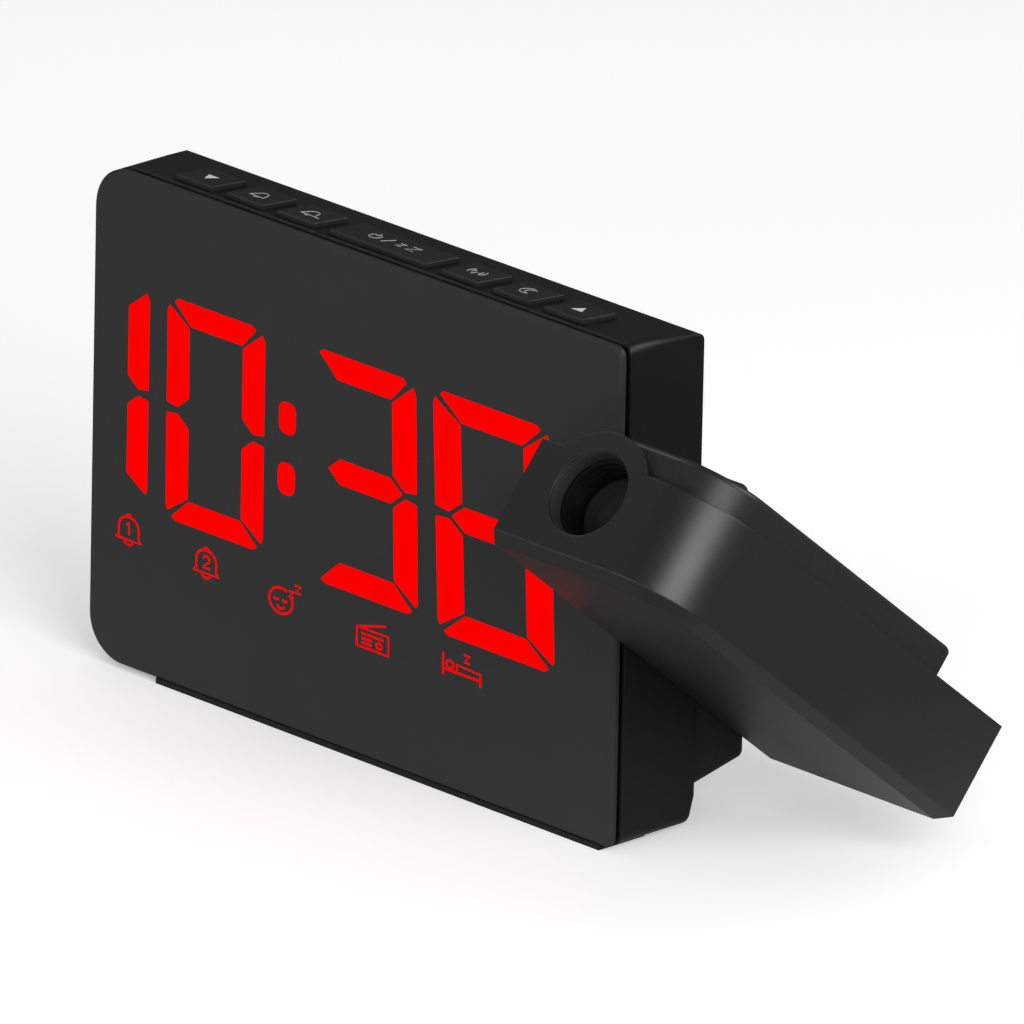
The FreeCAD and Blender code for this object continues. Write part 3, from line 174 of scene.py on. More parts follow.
@dataclass(frozen=True)
class LitSegment:
    """Light guide of a red display: evenly lit polycarbonate that looks like a flat red shape."""

    name: str
    colour: str
    dimmer: str
    strength: float

    def build(self) -> bpy.types.Material:
        """Builds the node material.

        Returns:
            The finished material.
        """
        material, tree = new_tree(self.name)
        clouds = noise(tree, 9.0, 1.0)
        red = add_node(tree, "ShaderNodeMix", {
            "Factor": clouds.outputs["Fac"], "A": linear(self.colour),
            "B": linear(self.dimmer)}, data_type="RGBA")
        shader = add_node(tree, "ShaderNodeBsdfPrincipled", {
            "Base Color": (0.01, 0.0, 0.0, 1.0), "Roughness": 0.5, "Specular IOR Level": 0.0,
            "Emission Color": red.outputs["Result"], "Emission Strength": self.strength})
        add_node(tree, "ShaderNodeOutputMaterial", {"Surface": shader.outputs["BSDF"]})
        return material


@dataclass(frozen=True)
class PrintedInk:
    """Pad-printed ink: an opaque thin film with a slightly uneven edge tone."""

    name: str
    colour: str
    worn: str

    def build(self) -> bpy.types.Material:
        """Builds the node material.

        Returns:
            The finished material.
        """
        material, tree = new_tree(self.name)
        specks = noise(tree, 0.5, 2.0)
        colour = add_node(tree, "ShaderNodeMix", {
            "Factor": specks.outputs["Fac"], "A": linear(self.colour),
            "B": linear(self.worn)}, data_type="RGBA")
        shader = add_node(tree, "ShaderNodeBsdfPrincipled", {
            "Base Color": colour.outputs["Result"], "Roughness": 0.6, "IOR": 1.5})
        add_node(tree, "ShaderNodeOutputMaterial", {"Surface": shader.outputs["BSDF"]})
        return material


@dataclass(frozen=True)
class Metal:
    """Turned or stamped steel: fine marks about 0.4 mm apart vary its gloss."""

    name: str
    colour: str
    roughness: float

    def build(self) -> bpy.types.Material:
        """Builds the node material.

        Returns:
            The finished material.
        """
        material, tree = new_tree(self.name)
        marks = noise(tree, 0.4, 3.0)
        gloss = add_node(tree, "ShaderNodeMapRange", {
            "Value": marks.outputs["Fac"], "To Min": self.roughness - 0.08,
            "To Max": self.roughness + 0.1})
        relief = add_node(tree, "ShaderNodeBump", {
            "Height": marks.outputs["Fac"], "Strength": 0.15, "Distance": 0.03 * MM})
        shader = add_node(tree, "ShaderNodeBsdfPrincipled", {
            "Base Color": linear(self.colour), "Metallic": 1.0,
            "Roughness": gloss.outputs["Result"], "Normal": relief.outputs["Normal"]})
        add_node(tree, "ShaderNodeOutputMaterial", {"Surface": shader.outputs["BSDF"]})
        return material


@dataclass(frozen=True)
class OpticalGlass:
    """Moulded acrylic lens: smooth, and dark because a black tube lies behind it.

    Most of that darkness is painted shade in its own tint. The lens lets only a part of the light
    through.
    """

    name: str
    tint_with_painted_shade: str

    def build(self) -> bpy.types.Material:
        """Builds the node material.

        Returns:
            The finished material.
        """
        material, tree = new_tree(self.name)
        haze = noise(tree, 3.0, 2.0)
        gloss = add_node(tree, "ShaderNodeMapRange", {
            "Value": haze.outputs["Fac"], "To Min": 0.06, "To Max": 0.12})
        shader = add_node(tree, "ShaderNodeBsdfPrincipled", {
            "Base Color": linear(self.tint_with_painted_shade), "Roughness": gloss.outputs["Result"], "IOR": 1.49,
            "Transmission Weight": 0.25, "Specular IOR Level": 0.4})
        add_node(tree, "ShaderNodeOutputMaterial", {"Surface": shader.outputs["BSDF"]})
        return material


@dataclass(frozen=True)
class CircuitLaminate:
    """Glass-epoxy board under green lacquer, with faint copper tracks about 1.2 mm apart."""

    name: str
    lacquer: str
    track: str

    def build(self) -> bpy.types.Material:
        """Builds the node material.

        Returns:
            The finished material.
        """
        material, tree = new_tree(self.name)
        place = add_node(tree, "ShaderNodeTexCoord").outputs["Object"]
        tracks = add_node(tree, "ShaderNodeTexBrick", {
            "Vector": place, "Scale": 1.0, "Color1": linear(self.lacquer),
            "Color2": linear(self.lacquer), "Mortar": linear(self.track),
            "Mortar Size": 0.12 * MM, "Brick Width": 6 * MM, "Row Height": 1.2 * MM})
        shader = add_node(tree, "ShaderNodeBsdfPrincipled", {
            "Base Color": tracks.outputs["Color"], "Roughness": 0.35, "IOR": 1.5})
        add_node(tree, "ShaderNodeOutputMaterial", {"Surface": shader.outputs["BSDF"]})
        return material


CASE = MouldedPlastic(
    "matt black moulded case", "#0b0b0b", "#0f0f0f", 0.42, Grain.SPARKED, 0.22, 0.9)
WINDOW = MouldedPlastic(
    "smoked display window", "#2b2b2b", "#2c2c2c", 0.42, Grain.POLISHED, 0.12, 0.2)
SURROUND = MouldedPlastic("black display frame", "#1b1b1b", "#1f1f1f", 0.5, Grain.SATIN, 0.2)
REAR = MouldedPlastic("matt black rear cover", "#1b1b1b", "#202020", 0.55, Grain.SPARKED, 0.15)
KEYTOP = MouldedPlastic("satin black keys", "#1f1f1f", "#242424", 0.4, Grain.SATIN, 0.15, 0.25)
BLOCK = MouldedPlastic(
    "satin black projector shell", "#0c0c0c", "#0f0f0f", 0.44, Grain.SATIN, 0.6, 0.45)
BLOCK_BACK = MouldedPlastic(
    "satin black projector cover", "#191919", "#1d1d1d", 0.42, Grain.SATIN, 0.4, 0.3)
BARREL = MouldedPlastic(
    "deep black focus barrel", "#090909", "#0c0c0c", 0.5, Grain.SATIN, 0.25, 0.1)
# painted light: the lens hole's wall is drawn in a lighter grey than the shell, as if lit
PAINTED_LIGHT_LINING = MouldedPlastic("lens hole wall painted light", "#262626", "#2a2a2a", 0.45, Grain.SATIN, 0.4, 0.1)
RUBBER = MouldedPlastic("black rubber foot", "#151515", "#1b1b1b", 0.75, Grain.SPARKED, 0.2, 0.2)
INNER = MouldedPlastic("black inner plastic", "#141414", "#181818", 0.5, Grain.SATIN)
LAMP = MouldedPlastic("clear lamp body", "#d8cfc8", "#e4dcd4", 0.2, Grain.POLISHED, 0.5, 0.1)
RED = LitSegment("lit red segments", "#ff0000", "#fc0000", 1.0)
INK = PrintedInk("white key print", "#e6e6e6", "#cfcfcf")
GREY_INK = PrintedInk("grey key print", "#b0b0b0", "#8c8c8c")
STEEL = Metal("blackened screw steel", "#55565a", 0.4)
PLATED = Metal("plated contact steel", "#c3c3bf", 0.3)
# painted shade: the lens's grey tint stands in for the dark tube behind it
GLASS = OpticalGlass("coated lens", "#2a2b2c")
BOARD = CircuitLaminate("green circuit laminate", "#0e4d25", "#2b7a43")

Finish = MouldedPlastic | LitSegment | PrintedInk | Metal | OpticalGlass | CircuitLaminate

NODE_FINISH: dict[str, Finish] = {
    "housing": CASE, "display_frame": SURROUND, "display_panel": WINDOW, "rear_cover": REAR,
    "case_screws": STEEL, "digit_reflector": INNER, "digit_segments": RED, "display_board": BOARD,
    "main_board": BOARD, "key_board": BOARD, "key_board_screws": STEEL, "key_switches": INNER,
    "key_down": KEYTOP, "key_alarm_one": KEYTOP, "key_alarm_two": KEYTOP, "key_snooze": KEYTOP,
    "key_radio": KEYTOP, "key_sleep": KEYTOP, "key_up": KEYTOP, "speaker": STEEL,
    "battery_door": REAR, "battery_door_screw": STEEL, "cell_contact": PLATED,
    "coin_cell": PLATED, "dc_jack": INNER, "usb_port": PLATED, "front_foot": RUBBER,
    "rear_feet": RUBBER, "pivot_spindle": INNER, "pivot_bush": INNER, "friction_washer": RUBBER,
    "retaining_ring": STEEL, "projector_cable": INNER, "projector_shell": BLOCK,
    "projector_cover": BLOCK_BACK, "projector_screws": STEEL, "focus_barrel": BARREL,
    "projection_lens": GLASS, "optic_holder": BARREL, "image_slide": GLASS,
    "condenser_lens": GLASS, "led_board": BOARD, "projection_led": LAMP,
}


class Finishes:
    """Builds each finish once and puts it on CAD nodes and new pieces."""

    def __init__(self) -> None:
        """Starts with nothing built."""
        self.built: dict[str, bpy.types.Material] = {}

    def get(self, finish: Finish) -> bpy.types.Material:
        """Gives the material of a finish.

        Args:
            finish: The finish wanted.

        Returns:
            Its material, built at the first call.
        """
        if finish.name not in self.built:
            self.built[finish.name] = finish.build()
        return self.built[finish.name]

    def dress_nodes(self) -> None:
        """Puts the finishes on every CAD node."""
        for name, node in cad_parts.items():
            material = self.get(NODE_FINISH[name])
            if not node.material_slots:
                node.data.materials.append(material)
            for slot in node.material_slots:
                slot.material = material
            LOG.info("node %s: %s", name, material.name)


def deselect() -> None:
    """Leaves edit mode and clears the selection."""
    if bpy.context.object is not None and bpy.context.object.mode != "OBJECT":
        bpy.ops.object.mode_set(mode="OBJECT")
    bpy.ops.object.select_all(action="DESELECT")


def join(parts: list[bpy.types.Object], name: str) -> bpy.types.Object:
    """Joins meshes into one piece whose object sits at the origin.

    Args:
        parts: Mesh objects.
        name: Name of the joined piece.

    Returns:
        The joined object.
    """
    deselect()
    for part in parts:
        part.select_set(True)
    bpy.context.view_layer.objects.active = parts[0]
    if len(parts) > 1:
        bpy.ops.object.join()
    bpy.ops.object.transform_apply(location=True, rotation=True, scale=True)
    piece = bpy.context.view_layer.objects.active
    piece.name = name
    piece.data.name = name
    deselect()
    return piece


@dataclass
class ThinShapes:
    """Makes the thin filled shapes and lines that lie on one face of the clock.

    All sizes are in millimetres. The key tops fall by `slope` from the housing's front edge,
    at `shell_front`, towards the back.
    """

    face: Face
    window_front: float = -9.8
    shell_front: float = -7.5
    key_top: float = 91.9
    slope: float = 1.5 / 17.3
    sunk: float = 0.12
    thick: float = 0.16
    wire_sunk: float = 0.06

    def lift(self, x: float, v: float, height: float) -> Vector:
        """Places a drawing point on the face.

        Args:
            x: Place along the case in millimetres.
            v: Height on the window, or place from front to back on the keys, in millimetres.
            height: Distance outwards from the face in millimetres.

        Returns:
            The point in metres.
        """
        if self.face is Face.WINDOW:
            return Vector((x, self.window_front - height, v)) * MM
        top = self.key_top - (v - self.shell_front) * self.slope
        return Vector((x, v, top + height)) * MM

    def filled(self, outline: list[Point], soften: float = 0.0) -> bpy.types.Object:
        """Makes one filled shape, a thin prism mostly sunk in the face.

        Args:
            outline: Corners in order, in millimetres.
            soften: Distance that each corner is rounded over, in millimetres.

        Returns:
            The new mesh object.
        """
        deselect()
        bpy.ops.mesh.primitive_circle_add(vertices=len(outline), radius=1.0, fill_type="NGON")
        shape = bpy.context.object
        for vertex, (x, v) in zip(shape.data.vertices, outline):
            vertex.co = self.lift(x, v, -self.sunk)
        bpy.ops.object.mode_set(mode="EDIT")
        bpy.ops.mesh.select_all(action="SELECT")
        if soften > 0.0:
            bpy.ops.mesh.bevel(offset=soften * MM, segments=3, affect="VERTICES")
            bpy.ops.mesh.select_all(action="SELECT")
        outwards = self.lift(0.0, 0.0, self.thick) - self.lift(0.0, 0.0, 0.0)
        bpy.ops.mesh.extrude_region_move(TRANSFORM_OT_translate={"value": outwards})
        bpy.ops.mesh.select_all(action="SELECT")
        bpy.ops.mesh.normals_make_consistent(inside=False)
        bpy.ops.object.mode_set(mode="OBJECT")
        return shape

    def line(self, points: list[Point], width: float) -> bpy.types.Object:
        """Makes one drawn line, a round wire sunk in the face so that a flat band shows.

        Args:
            points: Corners of the line in millimetres.
            width: Width that shows, in millimetres.

        Returns:
            The new mesh object.
        """
        deselect()
        radius = math.hypot(width / 2, self.wire_sunk)
        curve = bpy.data.curves.new("line", "CURVE")
        curve.dimensions = "3D"
        curve.bevel_depth = radius * MM
        curve.bevel_resolution = 1
        curve.use_fill_caps = True
        spline = curve.splines.new("POLY")
        spline.points.add(len(points) - 1)
        for point, (x, v) in zip(spline.points, points):
            point.co = (*self.lift(x, v, -self.wire_sunk), 1.0)
        drawn = bpy.data.objects.new("line", curve)
        bpy.context.collection.objects.link(drawn)
        bpy.context.view_layer.objects.active = drawn
        drawn.select_set(True)
        bpy.ops.object.convert(target="MESH")
        return bpy.context.object


def arc(centre: Point, radius: float, start: float, stop: float, steps: int = 12) -> list[Point]:
    """Gives points on an arc.

    Args:
        centre: Centre in millimetres.
        radius: Radius in millimetres.
        start: First angle in degrees.
        stop: Last angle in degrees.
        steps: Number of chords.

    Returns:
        The points.
    """
    turns = [math.radians(start + (stop - start) * i / steps) for i in range(steps + 1)]
    return [(centre[0] + radius * math.cos(t), centre[1] + radius * math.sin(t)) for t in turns]


def fit_lit_piece(piece: bpy.types.Object, finishes: Finishes) -> None:
    """Dresses a lit piece in red and fixes it to the case.

    Args:
        piece: The new piece.
        finishes: Source of the material.
    """
    piece.data.materials.clear()
    piece.data.materials.append(finishes.get(RED))
    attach(piece, "case")
    LOG.info("piece %s", piece.name)


@dataclass(frozen=True)
class Digit:
    """Limits of one digit on the window and the widths of its bars, in millimetres.

    Upright bars are `stroke` wide and level ones `bar` high. The top stands `lean` to the left
    of the foot.
    """

    left: float
    right: float
    low: float
    high: float
    stroke: float
    bar: float
    lean: float = 0.0


@dataclass
class LitTime:
    """The lit time on the window: a leading one, three full digits and a colon."""

    finishes: Finishes
    gap: float = 0.6
    corner: float = 2.5
    leading_one: Digit = Digit(-75.0, -50.6, 32.2, 71.4, 5.2, 4.0)
    zero: Digit = Digit(-45.9, -21.6, 31.0, 71.4, 5.5, 4.3, 0.2)
    three: Digit = Digit(-8.5, 17.0, 29.8, 71.8, 5.9, 4.6, 1.6)
    eight: Digit = Digit(22.0, 50.6, 28.6, 72.1, 6.6, 4.6, 2.4)
    colon: float = -16.0
    colon_levels: tuple[float, float] = (46.0, 57.0)
    colon_half_width: float = 2.1
    colon_half_height: float = 2.9
    colon_round: float = 1.6
    tip_round: float = 0.25

    def segments(self, digit: Digit, wanted: str) -> list[list[Point]]:
        """Gives the outlines of seven-segment bars.

        Args:
            digit: Limits and bar widths of the digit.
            wanted: Letters of the lit segments.

        Returns:
            One outline for each lit segment.
        """
        b, h, g, cut = digit.stroke, digit.bar, self.gap, self.corner
        left, right, low, high = digit.left, digit.right, digit.low, digit.high
        mid = (low + high) / 2
        shapes = {
            "a": [(left + cut, high), (right - cut * 1.3, high), (right - cut * 0.9, high - 0.7),
                  (right - b - g * 0.4, high - h), (left + b + g * 0.4, high - h),
                  (left + cut * 0.7, high - 0.7)],
            "d": [(left + b + g * 0.4, low + h), (right - b - g * 0.4, low + h),
                  (right - cut * 0.55, low + 0.6), (right - cut, low), (left + cut, low),
                  (left + cut * 0.55, low + 0.6)],
            "b": [(right - 0.7, high - cut * 0.45), (right, high - cut * 0.9),
                  (right, mid + 1.6 * g), (right - b / 2, mid + g),
                  (right - b, mid + h / 2 + g), (right - b, high - h - g * 0.7)],
            "c": [(right, mid - 1.6 * g), (right, low + cut * 0.95),
                  (right - 0.45, low + cut * 0.6), (right - b, low + h + g * 0.7),
                  (right - b, mid - h / 2 - g), (right - b / 2, mid - g)],
            "e": [(left + 0.45, low + cut * 0.6), (left, low + cut * 0.95),
                  (left, mid - 1.6 * g), (left + b / 2, mid - g),
                  (left + b, mid - h / 2 - g), (left + b, low + h + g * 0.7)],
            "f": [(left, mid + 1.6 * g), (left, high - cut * 0.95),
                  (left + 0.45, high - cut * 0.6), (left + b, high - h - g * 0.7),
                  (left + b, mid + h / 2 + g), (left + b / 2, mid + g)],
            "g": [(left + b / 2 + g, mid), (left + b + g, mid + h / 2),
                  (right - b - g, mid + h / 2), (right - b / 2 - g, mid),
                  (right - b - g, mid - h / 2), (left + b + g, mid - h / 2)],
        }
        slope = digit.lean / (high - low)
        return [[(x - slope * (z - low), z) for x, z in shapes[letter]] for letter in wanted]

    def build(self) -> None:
        """Builds the digits and the colon."""
        drawing = ThinShapes(Face.WINDOW)
        digits = {
            "time_leading_one": self.segments(self.leading_one, "bc"),
            "time_zero": self.segments(self.zero, "abcdef"),
            "time_three": self.segments(self.three, "abcdg"),
            "time_eight": self.segments(self.eight, "abcdefg"),
        }
        for name, outlines in digits.items():
            shapes = [drawing.filled(outline, self.tip_round) for outline in outlines]
            fit_lit_piece(join(shapes, name), self.finishes)
        dots = []
        for level in self.colon_levels:
            left, right = self.colon - self.colon_half_width, self.colon + self.colon_half_width
            low, high = level - self.colon_half_height, level + self.colon_half_height
            square = [(left, low), (right, low), (right, high), (left, high)]
            dots.append(drawing.filled(square, self.colon_round))
        fit_lit_piece(join(dots, "time_colon"), self.finishes)


@dataclass
class StatusSymbols:
    """Small lit symbols in a row under the time: two bells, a sleeper, a radio and a bed.

    Each is drawn at its natural height and then pressed to `squat` of it about its middle.
    """

    finishes: Finishes
    line_width: float = 0.45
    squat: float = 0.8

    def bell(self, x: float, z: float, digit: int) -> list[list[Point]]:
        """Draws a bell with a plain number in it.

        Args:
            x: Middle in millimetres.
            z: Middle height in millimetres.
            digit: 1 or 2.

        Returns:
            The lines of the symbol.
        """
        dome = [(x - 3.1, z - 2.2), (x - 2.5, z - 1.5)] + arc((x, z + 0.6), 2.5, 180, 0, 10)
        dome += [(x + 2.5, z - 1.5), (x + 3.1, z - 2.2), (x - 3.1, z - 2.2)]
        clapper = arc((x, z - 2.2), 1.1, 200, 340, 6)
        knob = arc((x, z + 3.1), 0.5, -40, 220, 6)
        if digit == 1:
            number = [(x - 0.5, z + 1.2), (x + 0.1, z + 1.7), (x + 0.1, z - 1.0)]
        else:
            number = arc((x, z + 0.9), 0.8, 160, -30, 6) + [(x - 0.8, z - 1.0), (x + 0.9, z - 1.0)]
        return [dome, clapper, knob, number]

    def sleeper(self, x: float, z: float) -> list[list[Point]]:
        """Draws a round sleeping face with two rising zigzags.

        Args:
            x: Middle in millimetres.
            z: Middle height in millimetres.

        Returns:
            The lines of the symbol.
        """
        head = arc((x - 0.4, z - 0.4), 2.9, 60, 390, 20)
        eyes = [arc((x + side, z + 0.2), 0.6, 200, 340, 5) for side in (-1.6, 0.6)]
        mouth = arc((x - 0.4, z - 1.2), 1.0, 200, 340, 6)
        small = [(x + 1.6, z + 2.5), (x + 2.7, z + 2.5), (x + 1.6, z + 1.2), (x + 2.7, z + 1.2)]
        large = [(x + 3.1, z + 4.2), (x + 4.5, z + 4.2), (x + 3.1, z + 2.6), (x + 4.5, z + 2.6)]
        return [head, *eyes, mouth, small, large]

    def radio(self, x: float, z: float) -> list[list[Point]]:
        """Draws a small radio with its aerial.

        Args:
            x: Middle in millimetres.
            z: Middle height in millimetres.

        Returns:
            The lines of the symbol.
        """
        box = [(x - 3.9, z - 2.6), (x + 3.9, z - 2.6), (x + 3.9, z + 1.7), (x - 3.9, z + 1.7),
               (x - 3.9, z - 2.6)]
        aerial = [(x - 3.4, z + 1.8), (x + 3.2, z + 3.9)]
        dial = [(x - 2.7, z + 0.5), (x + 2.7, z + 0.5)]
        knob = arc((x + 1.6, z - 1.1), 0.7, 0, 360, 8)
        grille = [[(x - 2.7, z - down), (x - 0.2, z - down)] for down in (0.6, 1.6)]
        return [box, aerial, dial, knob, *grille]

    def bed(self, x: float, z: float) -> list[list[Point]]:
        """Draws a bed from the side.

        Args:
            x: Middle in millimetres.
            z: Middle height in millimetres.

        Returns:
            The lines of the symbol.
        """
        head = [(x - 4.6, z - 2.4), (x - 4.6, z + 2.6)]
        base = [(x - 4.6, z - 1.0), (x + 4.6, z - 1.0)]
        foot = [(x + 4.6, z - 2.4), (x + 4.6, z + 0.4), (x - 1.2, z + 0.8), (x - 1.2, z - 1.0)]
        pillow = arc((x - 2.9, z + 0.3), 0.9, 0, 360, 8)
        rising = [(x + 0.6, z + 3.6), (x + 1.9, z + 3.6), (x + 0.6, z + 2.0), (x + 1.9, z + 2.0)]
        return [head, base, foot, pillow, rising]

    def build(self) -> None:
        """Builds the five symbols."""
        drawing = ThinShapes(Face.WINDOW)
        symbols = {
            "symbol_bell_one": (26.1, self.bell(-55.0, 26.1, 1)),
            "symbol_bell_two": (25.3, self.bell(-35.5, 25.3, 2)),
            "symbol_sleeper": (24.0, self.sleeper(-16.4, 24.0)),
            "symbol_radio": (22.9, self.radio(6.0, 22.9)),
            "symbol_bed": (23.3, self.bed(28.0, 23.3)),
        }
        for name, (level, lines) in symbols.items():
            flat = [[(x, level + (z - level) * self.squat) for x, z in points] for points in lines]
            drawn = [drawing.line(points, self.line_width) for points in flat]
            fit_lit_piece(join(drawn, name), self.finishes)


@dataclass
class KeySymbols:
    """Printed symbols on the key tops: arrows, bells, a moon, waves and zigzags."""

    finishes: Finishes
    middle: float = -1.7
    line_width: float = 0.28

    def build(self) -> None:
        """Builds one print for each key."""
        drawing = ThinShapes(Face.KEYS)
        y = self.middle
        for key, x, point in (("key_down", -44.6, -1.0), ("key_up", 46.6, 1.0)):
            arrow = [(x - 1.25, y - point * 0.9), (x + 1.25, y - point * 0.9), (x, y + point * 1.4)]
            arrow = arrow if point > 0 else arrow[::-1]
            self.finish(join([drawing.filled(arrow)], key + "_print"), key, INK)
        symbols = {
            "key_alarm_one": self.bell(-31.9, y),
            "key_alarm_two": self.bell(-19.2, y) + [[(-17.2, y - 1.3), (-16.3, y - 1.3)]],
            "key_snooze": self.zigzags(1.0, y),
            "key_radio": self.waves(21.2, y),
            "key_sleep": self.moon(33.9, y),
        }
        for key, lines in symbols.items():
            drawn = [drawing.line(points, self.line_width) for points in lines]
            self.finish(join(drawn, key + "_print"), key, GREY_INK)

    def bell(self, x: float, y: float) -> list[list[Point]]:
        """Draws a small bell.

        Args:
            x: Middle in millimetres.
            y: Middle from front to back in millimetres.

        Returns:
            The lines of the symbol.
        """
        dome = [(x - 1.7, y - 1.1)] + arc((x, y + 0.2), 1.15, 180, 0, 8)
        dome += [(x + 1.7, y - 1.1), (x - 1.7, y - 1.1)]
        return [dome, arc((x, y - 1.1), 0.5, 200, 340, 5)]

    def zigzags(self, x: float, y: float) -> list[list[Point]]:
        """Draws a power ring, a slanted stroke and two zigzags.

        Args:
            x: Middle in millimetres.
            y: Middle from front to back in millimetres.

        Returns:
            The lines of the symbol.
        """
        ring = arc((x - 4.6, y), 1.15, 120, 420, 12)
        bar = [(x - 4.6, y + 0.3), (x - 4.6, y + 1.6)]
        slash = [(x - 1.9, y - 1.4), (x - 0.9, y + 1.4)]
        small = [(x + 1.0, y + 0.8), (x + 2.4, y + 0.8), (x + 1.0, y - 0.8), (x + 2.4, y - 0.8)]
        large = [(x + 3.7, y + 1.2), (x + 5.7, y + 1.2), (x + 3.7, y - 1.1), (x + 5.7, y - 1.1)]
        return [ring, bar, slash, small, large]

    def waves(self, x: float, y: float) -> list[list[Point]]:
        """Draws a mast with radio waves on both sides.

        Args:
            x: Middle in millimetres.
            y: Middle from front to back in millimetres.

        Returns:
            The lines of the symbol.
        """
        mast = [(x, y - 1.4), (x, y + 0.2)]
        return [mast, arc((x, y + 0.3), 1.0, -40, 40, 5), arc((x, y + 0.3), 1.0, 140, 220, 5),
                arc((x, y + 0.3), 1.8, -40, 40, 6), arc((x, y + 0.3), 1.8, 140, 220, 6)]

    def moon(self, x: float, y: float) -> list[list[Point]]:
        """Draws a crescent moon.

        Args:
            x: Middle in millimetres.
            y: Middle from front to back in millimetres.

        Returns:
            The lines of the symbol.
        """
        outer = arc((x, y), 1.5, 50, 310, 12)
        inner = arc((x + 0.9, y), 1.25, 250, 110, 8)
        return [outer + inner + [(x + 0.96, y + 1.15)]]

    def finish(self, piece: bpy.types.Object, key: str, ink: PrintedInk) -> None:
        """Dresses a print and fixes it to its key.

        Args:
            piece: The new piece.
            key: Name of the key's body.
            ink: Finish of the print.
        """
        piece.data.materials.clear()
        piece.data.materials.append(self.finishes.get(ink))
        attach(piece, key)
        LOG.info("piece %s", piece.name)


@dataclass
class LensHolePaintedLight:
    """Thin grey ring of painted light on the lens hole's wall, about the lens axis: lighter than
    the shell so the wall looks lit.

    All sizes are in millimetres and degrees. Its place is given with the projector upright, and
    it is then turned about the pivot to the projector's rest.
    """

    finishes: Finishes
    axis_x: float = 80.8
    axis_y: float = 3.6
    low: float = 87.7
    high: float = 90.75
    outer: float = 7.9
    inner: float = 7.74
    edge: float = 0.08
    pivot_y: float = 2.6
    pivot_z: float = 45.0
    tilt: float = 50.8

    def upright_ring(self) -> bpy.types.Object:
        """Makes the ring with the projector upright.

        Returns:
            The new mesh object.
        """
        deselect()
        foot = (self.axis_x * MM, self.axis_y * MM, self.low * MM)
        bpy.ops.mesh.primitive_circle_add(vertices=64, radius=self.outer * MM, fill_type="NGON",
                                          location=foot)
        bpy.ops.object.mode_set(mode="EDIT")
        bpy.ops.mesh.select_all(action="SELECT")
        bpy.ops.mesh.inset(thickness=(self.outer - self.inner) * MM, depth=0.0)
        bpy.ops.mesh.delete(type="FACE")
        bpy.ops.mesh.select_all(action="SELECT")
        rise = (0.0, 0.0, (self.high - self.low) * MM)
        bpy.ops.mesh.extrude_region_move(TRANSFORM_OT_translate={"value": rise})
        bpy.ops.mesh.select_all(action="SELECT")
        bpy.ops.mesh.normals_make_consistent(inside=False)
        bpy.ops.object.mode_set(mode="OBJECT")
        ring = bpy.context.object
        edges = ring.modifiers.new("soft edges", "BEVEL")
        edges.width = self.edge * MM
        edges.segments = 2
        edges.limit_method = "ANGLE"
        bpy.ops.object.modifier_apply(modifier=edges.name)
        bpy.ops.object.shade_smooth_by_angle(angle=math.radians(35))
        return ring

    def build(self) -> None:
        """Builds the ring of painted light and fixes it to the projector."""
        # the ring is a sheet of painted light over the shell's own dark wall
        ring = self.upright_ring()
        pivot = Vector((0.0, self.pivot_y, self.pivot_z)) * MM
        turn = Matrix.Rotation(math.radians(self.tilt), 4, "X")
        about_pivot = Matrix.Translation(pivot) @ turn @ Matrix.Translation(-pivot)
        ring.matrix_world = about_pivot @ ring.matrix_world
        ring = join([ring], "lens_hole_painted_light")
        ring.data.materials.clear()
        ring.data.materials.append(self.finishes.get(PAINTED_LIGHT_LINING))
        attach(ring, "projector")
        LOG.info("piece %s", ring.name)


@dataclass(frozen=True)
class SoftBox:
    """A soft rectangular lamp, in metres and watts.

    With `lights_faces` off it lights no whole faces and only shows as sheen.
    """

    name: str
    place: Place
    size: tuple[float, float]
    power: float
    target: Place = (0.02, 0.0, 0.045)
    lights_faces: bool = True

    def build(self) -> None:
        """Builds the lamp and turns it to its target."""
        light = bpy.data.lights.new(self.name, "AREA")
        light.shape = "RECTANGLE"
        light.size, light.size_y = self.size
        light.energy = self.power
        holder = bpy.data.objects.new(self.name, light)
        holder.location = self.place
        holder.visible_diffuse = self.lights_faces
        backwards = Vector(self.place) - Vector(self.target)
        holder.rotation_euler = backwards.to_track_quat("Z", "Y").to_euler()
        bpy.context.collection.objects.link(holder)


SOFT_BOXES = (
    SoftBox("left_front_box", (-0.8, -2.0, 0.35), (1.3, 0.6), 13.0),
    SoftBox("bend_box", (1.38, -0.46, 0.77), (1.1, 0.8), 20.0, (0.09, -0.02, 0.07)),
    SoftBox("rim_box", (0.94, 1.16, 1.07), (0.5, 0.5), 14.0, (0.065, 0.0, 0.09), False),
    SoftBox("edge_box", (-1.21, 0.07, 1.42), (0.45, 0.45), 4.5, (0.0, 0.0, 0.08), False),
    SoftBox("low_box", (1.0, -1.9, 0.12), (1.0, 0.2), 5.0, (0.07, -0.02, 0.05)),
)


